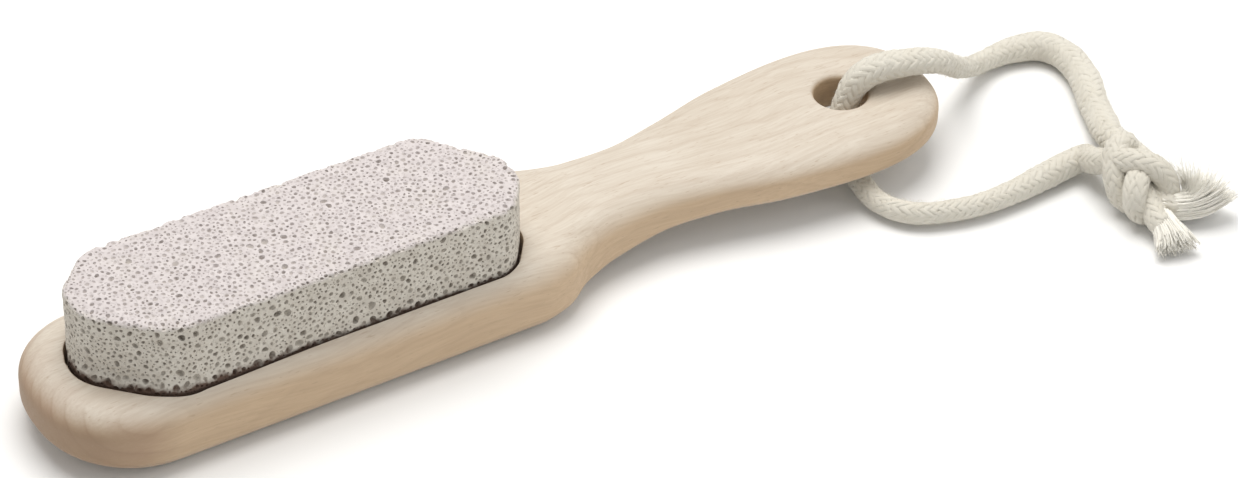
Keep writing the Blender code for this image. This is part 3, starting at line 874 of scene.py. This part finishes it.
def pumiceMesh():
    rng = random.Random(pumiceShape["seed"])
    skin = StoneSkin()
    bm = bmesh.new()
    depthLayer = bm.verts.layers.float.new("pitDepth")
    # one sheet goes up the side and over the worn edge, the other closes the top
    topRing = coverSide(bm, depthLayer, rng, skin)
    coverTop(bm, depthLayer, rng, skin, topRing)
    mesh = closedMesh(bm, "pumiceStone")
    mesh.shade_smooth()
    mesh.set_sharp_from_angle(angle=math.radians(50))
    return mesh


pumiceFinish = {
    "pale": (0.66, 0.61, 0.60),
    "dustyAndPoreShade": (0.53, 0.48, 0.475),
    "topPitShade": (0.24, 0.20, 0.195),
    "sidePale": (0.675, 0.635, 0.565),
    "sideDustyAndPoreShade": (0.52, 0.475, 0.41),
    "sidePitShade": (0.11, 0.08, 0.058),
    "crumbAndGapShade": (0.085, 0.042, 0.026),
    "crumbShadeTop": 16.0 * mm,  # the crumbs and the painted shade of the gap thin out at this height, and are full at the next
    "crumbShadeFull": 14.889 * mm,
    "moreCrumbShadeStart": -47.22 * mm,  # along X: they reach higher from here to there
    "moreCrumbShadeFull": -75.0 * mm,
    "moreCrumbShade": 0.95,
    "crumbShadeRagged": 3.0,
    "crumbShadeShare": 0.92,
    "dustyShare": 0.6,
    "poreShadeShare": 0.4,
    "pitShadeShare": 0.9,
    "grit": {"Scale": 1500.0, "Speck Size": 0.34},
    "specular": 0.25,
    "roughness": 0.93,
    "relief": 0.75,
    "reliefDepth": 0.12 * mm,
}


def makePumiceMaterial(groups):
    look = pumiceFinish
    material, tree, shader = newMaterial("pumice", look["roughness"])
    place = addNode(tree, "ShaderNodeTexCoord").outputs["Object"]
    spread = addNode(tree, "ShaderNodeSeparateXYZ", {0: place}).outputs
    gritInputs = {"Vector": place, **look["grit"]}
    grit = addNode(tree, "ShaderNodeGroup", gritInputs, node_tree=groups["fineGrit"]).outputs
    top = pumiceShape["top"]
    upward = fadeNode(tree, spread[2], top - pumiceShape["topTone"], top)  # 0 on the sides, 1 on the top
    ground = mixColour(tree, upward, look["sidePale"], look["pale"])
    dustyAndPoreShade = mixColour(tree, upward, look["sideDustyAndPoreShade"], look["dustyAndPoreShade"])
    base = mottled(tree, groups, place, 420.0, ground, dustyAndPoreShade, look["dustyShare"])
    # painted shade in the fine pores: the grit's specks take the darker tone
    base = tinted(tree, base, grit["Specks"], look["poreShadeShare"], dustyAndPoreShade)
    # painted shade in the pits: darker the deeper a point lies in its pit, each pit to its own strength
    deep = stored(tree, "pitDepth")
    pit = mixColour(tree, upward, look["sidePitShade"], look["topPitShade"])
    base = tinted(tree, base, deep, look["pitShadeShare"], pit)
    # dark crumbs and painted shade of the gap against the wood, highest at the stone's free end
    ragged = noiseNode(tree, place, 520.0, 3.0)[0]
    toTip = fadeNode(tree, spread[0], look["moreCrumbShadeStart"], look["moreCrumbShadeFull"])
    height = fadeNode(tree, spread[2], look["crumbShadeTop"], look["crumbShadeFull"], clamp=False)
    height = mathNode(tree, "ADD", height, mathNode(tree, "MULTIPLY", toTip, look["moreCrumbShade"]))
    ragged = mathNode(tree, "MULTIPLY_ADD", ragged, look["crumbShadeRagged"], -0.5 * look["crumbShadeRagged"])
    low = mathNode(tree, "ADD", height, ragged, clamp=True)
    base = tinted(tree, base, low, look["crumbShadeShare"], look["crumbAndGapShade"])
    dressSurface(tree, shader, look, base, grit["Height"])
    shader.inputs["Specular IOR Level"].default_value = look["specular"]
    return material


def buildPumice(groups):
    stone = addPiece("pumiceStone", pumiceMesh(), makePumiceMaterial(groups))
    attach(stone, "root")
    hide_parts("pumice_stone")
    print("pumice stone:", sum(len(p.vertices) - 2 for p in stone.data.polygons), "triangles")


cordShape = {
    "diameter": 6.3 * mm,
    "route": [  # mm: from the knot along the far side, over the grip, down the hole and back
        (133.0, -31.9, 5.8), (134.5, -27.8, 4.7), (136.5, -23.4, 3.7), (139.0, -16.9, 3.2),
        (142.1, -10.0, 3.2), (143.8, -3.4, 3.2), (143.4, 2.2, 3.2), (140.5, 6.2, 3.2),
        (134.3, 7.9, 3.2), (127.9, 7.3, 3.5), (122.6, 5.2, 5.2), (116.9, 2.4, 8.7),
        (111.8, -0.6, 13.4), (106.8, -2.9, 17.6), (101.7, -3.6, 20.0), (97.2, -3.2, 20.8),
        (93.2, -2.4, 20.9), (89.8, -1.5, 19.9), (87.1, -0.8, 17.4), (85.4, -0.8, 14.2),
        (84.2, -1.2, 11.0), (83.4, -2.2, 7.8), (82.8, -4.6, 4.6), (82.1, -7.8, 3.3),
        (81.1, -11.6, 3.2), (80.1, -15.5, 3.2), (79.6, -19.4, 3.2), (80.2, -23.4, 3.2),
        (82.4, -27.3, 3.2), (86.2, -30.3, 3.2), (91.5, -32.2, 3.2), (98.0, -33.5, 3.2),
        (105.8, -33.5, 3.2), (114.0, -32.6, 3.2), (120.4, -31.9, 3.4), (125.2, -32.4, 4.1),
    ],
    # the knot's two strands wind round an axis that runs towards -Y: along it, degrees round, out from it
    "knotMiddle": (128.5, -45.0, 7.0),
    "upperStrand": [
        (-10, -6, 4.2), (-6, 14, 3.6), (-2, 18, 3.6), (2, 8, 3.3), (4.6, -18, 2.8), (5.2, -60, 3.3),
        (4.6, -100, 4.3), (3.6, -130, 4.9), (2.2, -155, 5.2), (0.8, 178, 5.2), (-1.0, 152, 5.1),
        (-3.2, 126, 5.1), (-5.0, 96, 4.7), (-5.6, 62, 3.8), (-4.0, 40, 2.0), (-1, -60, 0.8),
        (3, -90, 1.0), (7, -60, 1.8), (10.4, -45, 3.0),
    ],
    "lowerStrand": [
        (-9.5, -158, 3.9), (-6.2, 170, 3.8), (-3.2, 146, 4.3), (-0.4, 124, 5.3), (2.6, 104, 5.7),
        (5.0, 80, 5.0), (6.6, 48, 3.8), (7.6, 5, 3.1), (8.2, -38, 3.4), (8.4, -75, 4.2),
        (8.0, -112, 4.6), (7.9, -145, 5.0), (7.4, -172, 5.2), (6.6, 163, 5.0), (5.0, 138, 4.2),
        (3.4, 125, 2.4), (4.2, -170, 1.2), (7.5, -150, 2.2), (10.5, -140, 3.2), (13.0, -136, 4.0),
    ],
    # frayed ends: centre in mm, half width and half height of the tuft there
    "upperTail": [
        ((129.1, -53.8, 4.6), 2.9, 2.9), ((131.8, -55.6, 4.4), 3.0, 3.1), ((134.8, -56.7, 4.4), 3.3, 3.3),
        ((137.7, -56.6, 5.2), 4.6, 4.4), ((141.0, -54.8, 7.2), 8.0, 6.9),
    ],
    "lowerTail": [
        ((126.8, -56.7, 4.2), 2.6, 2.6), ((126.2, -59.9, 3.7), 3.1, 2.7), ((125.7, -63.0, 3.2), 4.2, 2.7),
        ((124.9, -66.2, 2.5), 5.6, 2.2),
    ],
    # how thick the cord looks along its loop, from the knot's upper strand to its lower one
    "swell": [
        (0.0, 1.02), (0.05, 1.08), (0.16, 1.11), (0.22, 1.10), (0.256, 0.95), (0.29, 0.79),
        (0.34, 0.76), (0.41, 0.82), (0.46, 0.94), (0.50, 1.02), (0.525, 1.07), (0.56, 0.98),
        (0.62, 0.92), (0.70, 0.80), (0.80, 0.77), (0.86, 0.79), (0.91, 0.88), (0.95, 0.97), (1.0, 1.0),
    ],
    "knotSwell": 0.88,
    "step": 0.5 * mm,
}

braidShape = {
    "carriers": 10,  # yarns each way round
    "pitch": 19.0 * mm,
    "radius": 2.62 * mm,
    "weave": 0.08 * mm,
    "yarnHalfWidth": 0.84 * mm,
    "yarnHalfThickness": 0.36 * mm,
    "yarnSides": 7,
    "yarnStep": 0.72 * mm,
    "yarnDrift": 0.16,  # radians
    "driftRate": 260.0,  # waves per metre
    "plumpRate": 420.0,
    "swellWaves": ((0.045, 140.0, 3), (0.03, 410.0, 4)),  # share, waves per metre, seed
    "yarnPlumpness": 0.30,
    "coreRadius": 2.60 * mm,
    "fuzzPerMm": 66,
    "fuzzRadius": 0.032 * mm,
    "fuzzReach": 1.25 * mm,
    "fuzzLift": 0.55,
    "fuzzLitShare": 0.25,
    "seed": 5,
}

# the frayed ends: radii and pulls in mm, reach as shares of the tuft's length
frayShape = {
    "step": 0.4 * mm,
    "core": {"reach": 0.72, "width": 0.72, "points": 12, "sides": 20, "loose": 0.9},
    "strand": {"out": 0.93, "reach": (0.62, 0.98), "radius": (0.17, 0.33), "points": 13, "sides": 5, "loose": 0.85},
    "hair": {"out": 1.02, "reach": (0.72, 1.0), "radius": (0.04, 0.08), "points": 9, "sides": 3, "loose": 1.0},
    "upperCounts": (620, 380, 240),  # thick strands, hairs, long wisps
    "lowerCounts": (500, 300, 0),
    "hairStart": 0.45,
    "stray": (6.0, 4.0, 5.0),  # how far hairs wander towards the tip: sideways, up, ahead
    "strayFrom": 0.55,
    "wispFrom": 0.25,
    "sway": 0.35 * mm,
    "swayRate": 260.0,
    "wispPulls": [(9.0, 12.0), (7.0, 15.0), (3.0, 14.0), (0.0, 8.0), (5.0, 7.0)],  # locks: sideways, up
    "wispSpread": 1.0,
    "lowest": 0.15 * mm,
}

cottonFinish = {
    "cream": (0.70, 0.67, 0.595),
    "warm": (0.62, 0.57, 0.465),
    "fuzzLitColour": (0.96, 0.935, 0.865),
    "roughness": 0.92,
    "sheen": 0.25,
    "specular": 0.2,
    "threadScale": (420.0, 3600.0, 3600.0),
    "warmShare": 0.22,
    "relief": 0.6,
    "reliefDepth": 0.14 * mm,
}


def travelledAlong(points):
    return np.concatenate([[0.0], np.cumsum(np.linalg.norm(np.diff(points, axis=0), axis=1))])


class FibreMesh:
    def __init__(self):
        self.points = []
        self.faces = []
        self.inYarn = []
        self.loose = []
        self.count = 0

    def addTube(self, centres, wide, high, sides, offset=0.0, loose=0.0):
        turns = np.arange(sides) * (2 * math.pi / sides)
        cos, sin = np.cos(turns), np.sin(turns)
        ring = centres[:, None, :] + wide[:, None, :] * cos[None, :, None] + high[:, None, :] * sin[None, :, None]
        rows = len(centres)
        along = travelledAlong(centres) + offset
        across = np.linalg.norm(wide, axis=1)
        through = np.linalg.norm(high, axis=1)
        inYarn = np.zeros((rows, sides, 3))
        inYarn[:, :, 0] = along[:, None]
        inYarn[:, :, 1] = across[:, None] * cos[None, :] + 0.37 * offset
        inYarn[:, :, 2] = through[:, None] * sin[None, :]
        first = self.count
        index = first + np.arange(rows * sides).reshape(rows, sides)
        turned = np.roll(index, -1, axis=1)
        quads = np.stack([index[:-1], turned[:-1], turned[1:], index[1:]], axis=2).reshape(-1, 4)
        self.faces += quads.tolist()
        self.faces.append(index[0, ::-1].tolist())
        self.faces.append(index[-1].tolist())
        self.points.append(ring.reshape(-1, 3))
        self.inYarn.append(inYarn.reshape(-1, 3))
        self.loose.append(np.full(rows * sides, loose))
        self.count += rows * sides

    def piece(self, name, material):
        mesh = bpy.data.meshes.new(name)
        mesh.from_pydata(np.concatenate(self.points).tolist(), [], self.faces)
        store = mesh.attributes.new("inYarn", "FLOAT_VECTOR", "POINT")
        store.data.foreach_set("vector", np.concatenate(self.inYarn).astype(np.float32).ravel())
        store = mesh.attributes.new("loose", "FLOAT", "POINT")
        store.data.foreach_set("value", np.concatenate(self.loose).astype(np.float32))
        mesh.shade_smooth()
        return addPiece(name, mesh, material)

    def triangles(self):
        return sum(len(face) - 2 for face in self.faces)


def evenRoute(points, step):
    route = np.array(points, float)
    fine = []
    for i in range(len(route) - 1):
        start, end = route[i], route[i + 1]
        leave = 0.5 * (end - route[max(i - 1, 0)])
        arrive = 0.5 * (route[min(i + 2, len(route) - 1)] - start)
        for t in np.arange(12) / 12:
            fine.append(
                start * (2 * t**3 - 3 * t**2 + 1) + leave * (t**3 - 2 * t**2 + t)
                + end * (3 * t**2 - 2 * t**3) + arrive * (t**3 - t**2)
            )
    fine.append(route[-1])
    fine = np.array(fine)
    travelled = travelledAlong(fine)
    goals = np.linspace(0.0, travelled[-1], round(travelled[-1] / step) + 1)
    return np.stack([np.interp(goals, travelled, fine[:, k]) for k in range(3)], axis=1)


def unit(vectors):
    return vectors / np.maximum(np.linalg.norm(vectors, axis=-1, keepdims=True), 1e-12)


class CordLine:
    # a curve with frames that don't twist, read at any distance along it
    def __init__(self, points):
        self.points = points
        self.travelled = travelledAlong(points)
        self.length = float(self.travelled[-1])
        self.ahead = unit(np.gradient(points, axis=0))
        sides = []
        side = np.cross(self.ahead[0], (0.0, 0.0, 1.0))
        for ahead in self.ahead:
            side = unit(side - ahead * np.dot(side, ahead))
            sides.append(side)
        self.side = np.array(sides)
        self.up = np.cross(self.side, self.ahead)

    def at(self, distances):
        def read(values):
            return np.stack([np.interp(distances, self.travelled, values[:, k]) for k in range(3)], axis=1)
        return read(self.points), unit(read(self.ahead)), unit(read(self.side)), unit(read(self.up))


def knotPoint(along, degrees, out):
    middle = cordShape["knotMiddle"]
    turn = math.radians(degrees)
    x, y, z = middle[0] + out * math.cos(turn), middle[1] - along, middle[2] + out * math.sin(turn)
    return x * mm, y * mm, z * mm


def cordLine():
    shape = cordShape
    loop = [tuple(v * mm for v in p) for p in shape["route"]]
    upper = [knotPoint(*p) for p in shape["upperStrand"]]
    lower = [knotPoint(*p) for p in shape["lowerStrand"]]
    upperEnd = [tuple(v * mm for v in centre) for centre, _, _ in shape["upperTail"][1:3]]
    lowerEnd = [tuple(v * mm for v in centre) for centre, _, _ in shape["lowerTail"][1:3]]
    before = upperEnd[::-1] + upper[::-1]
    line = CordLine(evenRoute(before + loop + lower + lowerEnd, shape["step"]))

    def distanceOf(point):
        gaps = np.linalg.norm(line.points - np.array(point), axis=1)
        return float(line.travelled[int(np.argmin(gaps))])

    marks = {
        "upperTail": distanceOf(upper[-1]),
        "loopStart": distanceOf(loop[0]),
        "loopEnd": distanceOf(loop[-1]),
        "lowerTail": distanceOf(lower[-1]),
    }
    return line, marks


def cordSwell(distances, marks):
    stations = cordShape["swell"]
    share = (distances - marks["loopStart"]) / (marks["loopEnd"] - marks["loopStart"])
    inLoop = np.interp(share, [s for s, _ in stations], [v for _, v in stations])
    ease = np.clip(np.maximum(-share, share - 1) * 18, 0.0, 1.0)
    return inLoop * (1 - ease) + cordShape["knotSwell"] * ease


def slowNoise(distances, rate, seed):
    return np.array([noise.noise(Vector((d * rate, seed * 7.31, seed * 1.7))) for d in distances])


def liftedOffFloor(centre, swell):
    reach = (braidShape["radius"] + braidShape["weave"] + braidShape["yarnHalfThickness"]) * swell
    return np.column_stack([centre[:, 0], centre[:, 1], np.maximum(centre[:, 2], 1.02 * reach)])


def outFrom(side, up, turn):
    return side * np.cos(turn)[:, None] + up * np.sin(turn)[:, None]


def addBraid(fibres, line, marks, fromDistance, toDistance):
    shape = braidShape
    count = max(4, round((toDistance - fromDistance) / shape["yarnStep"]))
    distances = np.linspace(fromDistance, toDistance, count)
    centre, _, side, up = line.at(distances)
    waves = (share * slowNoise(distances, rate, seed) for share, rate, seed in shape["swellWaves"])
    swell = cordSwell(distances, marks) * sum(waves, 1.0)
    centre = liftedOffFloor(centre, swell)
    spin = 2 * math.pi / shape["pitch"]
    for way in (1, -1):
        for k in range(shape["carriers"]):
            seed = k + (20 if way > 0 else 40)
            drift = shape["yarnDrift"] * slowNoise(distances, shape["driftRate"], seed)
            turn = 2 * math.pi * k / shape["carriers"] + way * spin * distances + drift
            phase = 0.5 * shape["carriers"] * spin * distances
            lift = way * np.cos((phase if way > 0 else -phase) + math.pi * k - math.pi / 4)
            radius = (shape["radius"] + shape["weave"] * lift) * swell
            out = outFrom(side, up, turn)
            middle = centre + out * radius[:, None]
            along = unit(np.gradient(middle, axis=0))
            across = unit(np.cross(out, along))
            plump = 1 + shape["yarnPlumpness"] * slowNoise(distances, shape["plumpRate"], seed + 5)
            wide = across * (shape["yarnHalfWidth"] * swell * plump)[:, None]
            high = np.cross(along, across) * (shape["yarnHalfThickness"] * swell * (2 - plump))[:, None]
            fibres.addTube(middle, wide, high, shape["yarnSides"], offset=0.11 * seed)
    core = (shape["coreRadius"] * swell)[:, None]
    fibres.addTube(centre, side * core, up * core, 12, offset=9.0)


def addFuzz(fibres, rng, line, marks, fromDistance, toDistance, perMm):
    shape = braidShape
    total = round((toDistance - fromDistance) / mm * perMm)
    distances = np.sort(rng.uniform(fromDistance, toDistance, total))
    centre, ahead, side, up = line.at(distances)
    swell = cordSwell(distances, marks)
    centre = liftedOffFloor(centre, swell)
    turn = rng.uniform(0, 2 * math.pi, total)
    out = outFrom(side, up, turn)
    around = np.cross(ahead, out)
    root = centre + out * ((shape["radius"] + 0.30 * shape["yarnHalfThickness"]) * swell)[:, None]
    reach = rng.uniform(0.35, 1.0, total) ** 2 * shape["fuzzReach"]
    lift = rng.uniform(0.08, 1.0, total) ** 2 * shape["fuzzLift"]  # most lie along the yarns, a few stand off
    lean = ahead * rng.normal(0, 1.0, total)[:, None] + around * rng.normal(0, 0.8, total)[:, None]
    first = root + (lean * 0.55 + out * lift[:, None]) * reach[:, None]
    curl = ahead * rng.normal(0, 0.7, total)[:, None] + around * rng.normal(0, 0.7, total)[:, None]
    tip = first + (lean * 0.35 + curl * 0.5 + out * rng.uniform(-0.2, 0.45, total)[:, None]) * reach[:, None]
    for hair in np.stack([root, first, tip], axis=1):
        hair[:, 2] = np.maximum(hair[:, 2], 0.08 * mm)
        addHair(fibres, hair, shape["fuzzRadius"], 3, shape["fuzzLitShare"])


def addHair(fibres, hair, radius, sides, loose, offset=0.0):
    along = unit(np.gradient(hair, axis=0))
    across = unit(np.cross(along, (0.31, 0.52, 0.79)))
    taper = np.linspace(1.0, 0.45, len(hair))[:, None] * radius
    fibres.addTube(hair, across * taper, np.cross(along, across) * taper, sides, offset=offset, loose=loose)


def addFrayedEnd(fibres, rng, stations, counts):
    fray = frayShape
    strands, hairs, longWisps = counts
    centres = np.array([centre for centre, _, _ in stations]) * mm
    line = CordLine(evenRoute(centres, fray["step"]))
    places = travelledAlong(centres)
    widths = np.array([w for _, w, _ in stations]) * mm
    heights = np.array([h for _, _, h in stations]) * mm

    def tuftAt(distances):
        centre, ahead, _, _ = line.at(distances)
        flat = unit(np.stack([-ahead[:, 1], ahead[:, 0], np.zeros(len(ahead))], axis=1))
        wide = np.interp(distances, places, widths)
        tall = np.interp(distances, places, heights)
        return centre, ahead, flat, np.cross(ahead, flat), wide, tall

    core = fray["core"]  # the dense middle of the tuft
    distances = np.linspace(0.0, core["reach"] * line.length, core["points"])
    centre, _, flat, rise, wide, tall = tuftAt(distances)
    thin = core["width"] * np.sqrt(1 - (distances / line.length) ** 2)
    wide, tall = flat * (wide * thin)[:, None], rise * (tall * thin)[:, None]
    fibres.addTube(centre, wide, tall, core["sides"], offset=4.0, loose=core["loose"])
    for i in range(strands + hairs + longWisps):
        thick = i < strands
        kind = fray["strand" if thick else "hair"]
        turn = rng.uniform(0, 2 * math.pi)
        out = math.sqrt(rng.uniform(0.0, 1.0)) * kind["out"]
        reach = line.length * rng.uniform(*kind["reach"])
        start = 0.0 if thick else rng.uniform(0.0, fray["hairStart"]) * line.length
        distances = np.linspace(start, reach, kind["points"])
        centre, ahead, flat, rise, wide, tall = tuftAt(distances)
        opened = distances / line.length
        sway = fray["sway"] * opened
        aside, above = (sway * slowNoise(distances, fray["swayRate"], seed) for seed in (i, i + 500))
        path = centre + flat * (wide * out * math.cos(turn) + aside)[:, None]
        path += rise * (tall * out * math.sin(turn) + above)[:, None]
        if not thick:
            tipward = np.clip(opened - fray["strayFrom"], 0, 1)[:, None] ** 2
            asideBy, upBy, aheadBy = fray["stray"]
            stray = flat * rng.normal(0, asideBy) + rise * rng.normal(0, upBy) + ahead * rng.uniform(0, aheadBy)
            path += stray * mm * tipward
        if i >= strands + hairs:
            tipward = np.clip(opened - fray["wispFrom"], 0, 1)[:, None] ** 1.6
            lock = fray["wispPulls"][i % len(fray["wispPulls"])]
            pull = np.array(lock) + rng.normal(0, fray["wispSpread"], 2)
            path += (flat * pull[0] + rise * pull[1]) * mm * tipward
        path[:, 2] = np.maximum(path[:, 2], fray["lowest"])
        radius = rng.uniform(*kind["radius"]) * mm
        addHair(fibres, path, radius, kind["sides"], kind["loose"], offset=0.07 * i)


def makeCottonMaterial(groups):
    look = cottonFinish
    material, tree, shader = newMaterial("softCotton", look["roughness"])
    place = addNode(tree, "ShaderNodeTexCoord").outputs["Object"]
    inYarn = stored(tree, "inYarn", "Vector")
    loose = stored(tree, "loose")
    strands = stretchedNoise(tree, inYarn, look["threadScale"], 3.0)
    between = rampNode(tree, strands, [(0.35, 1.0), (0.65, 0.0)])
    base = mottled(tree, groups, place, 190.0, look["cream"], look["warm"], look["warmShare"])
    base = tinted(tree, base, between, look["warmShare"], look["warm"])
    # painted light: loose fibres get a near-white colour, standing in for light passing through and between the thin
    # fibres
    base = mixColour(tree, loose, base, look["fuzzLitColour"])
    dressSurface(tree, shader, look, base, strands)
    shader.inputs["Sheen Weight"].default_value = look["sheen"]
    shader.inputs["Specular IOR Level"].default_value = look["specular"]
    return material


def buildCord(groups):
    cotton = makeCottonMaterial(groups)
    rng = np.random.default_rng(braidShape["seed"])
    line, marks = cordLine()
    perMm = braidShape["fuzzPerMm"]
    loop, loopFuzz = FibreMesh(), FibreMesh()
    addBraid(loop, line, marks, marks["loopStart"], marks["loopEnd"])
    addFuzz(loopFuzz, rng, line, marks, marks["loopStart"], marks["loopEnd"], perMm)
    knot, knotFuzz = FibreMesh(), FibreMesh()
    addBraid(knot, line, marks, marks["upperTail"] - 1.5 * mm, marks["loopStart"])
    addBraid(knot, line, marks, marks["loopEnd"], marks["lowerTail"] + 1.5 * mm)
    addFuzz(knotFuzz, rng, line, marks, marks["upperTail"], marks["loopStart"], perMm)
    addFuzz(knotFuzz, rng, line, marks, marks["loopEnd"], marks["lowerTail"], perMm)
    upperTail, lowerTail = FibreMesh(), FibreMesh()
    addFrayedEnd(upperTail, rng, cordShape["upperTail"], frayShape["upperCounts"])
    addFrayedEnd(lowerTail, rng, cordShape["lowerTail"], frayShape["lowerCounts"])
    pieces = {
        "cordLoop": (loop, "cord_loop"),
        "cordLoopFuzz": (loopFuzz, None),
        "cordKnot": (knot, "cord_knot"),
        "cordKnotFuzz": (knotFuzz, None),
        "frayedEndUpper": (upperTail, "cord_tail_upper"),
        "frayedEndLower": (lowerTail, "cord_tail_lower"),
    }
    for name, (fibres, node) in pieces.items():
        piece = fibres.piece(name, cotton)
        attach(piece, "root")
        if node:
            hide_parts(node)
        print(name, fibres.triangles(), "triangles")


def makeFloor():
    material, _, shader = newMaterial("paleFloor", studio["floorRoughness"])
    shader.inputs["Base Color"].default_value = (*studio["floorColour"], 1.0)
    half = 0.5 * studio["floorSize"]
    mesh = bpy.data.meshes.new("paleFloor")
    mesh.from_pydata([(-half, -half, 0), (half, -half, 0), (half, half, 0), (-half, half, 0)], [], [(0, 1, 2, 3)])
    addPiece("paleFloor", mesh, material)


placeCamera()
lightStudio()
makeFloor()
sharedGroups = {"softMottle": makeSoftMottle(), "fineGrit": makeFineGrit()}
buildCord(sharedGroups)
buildHandle(sharedGroups)
buildPumice(sharedGroups)
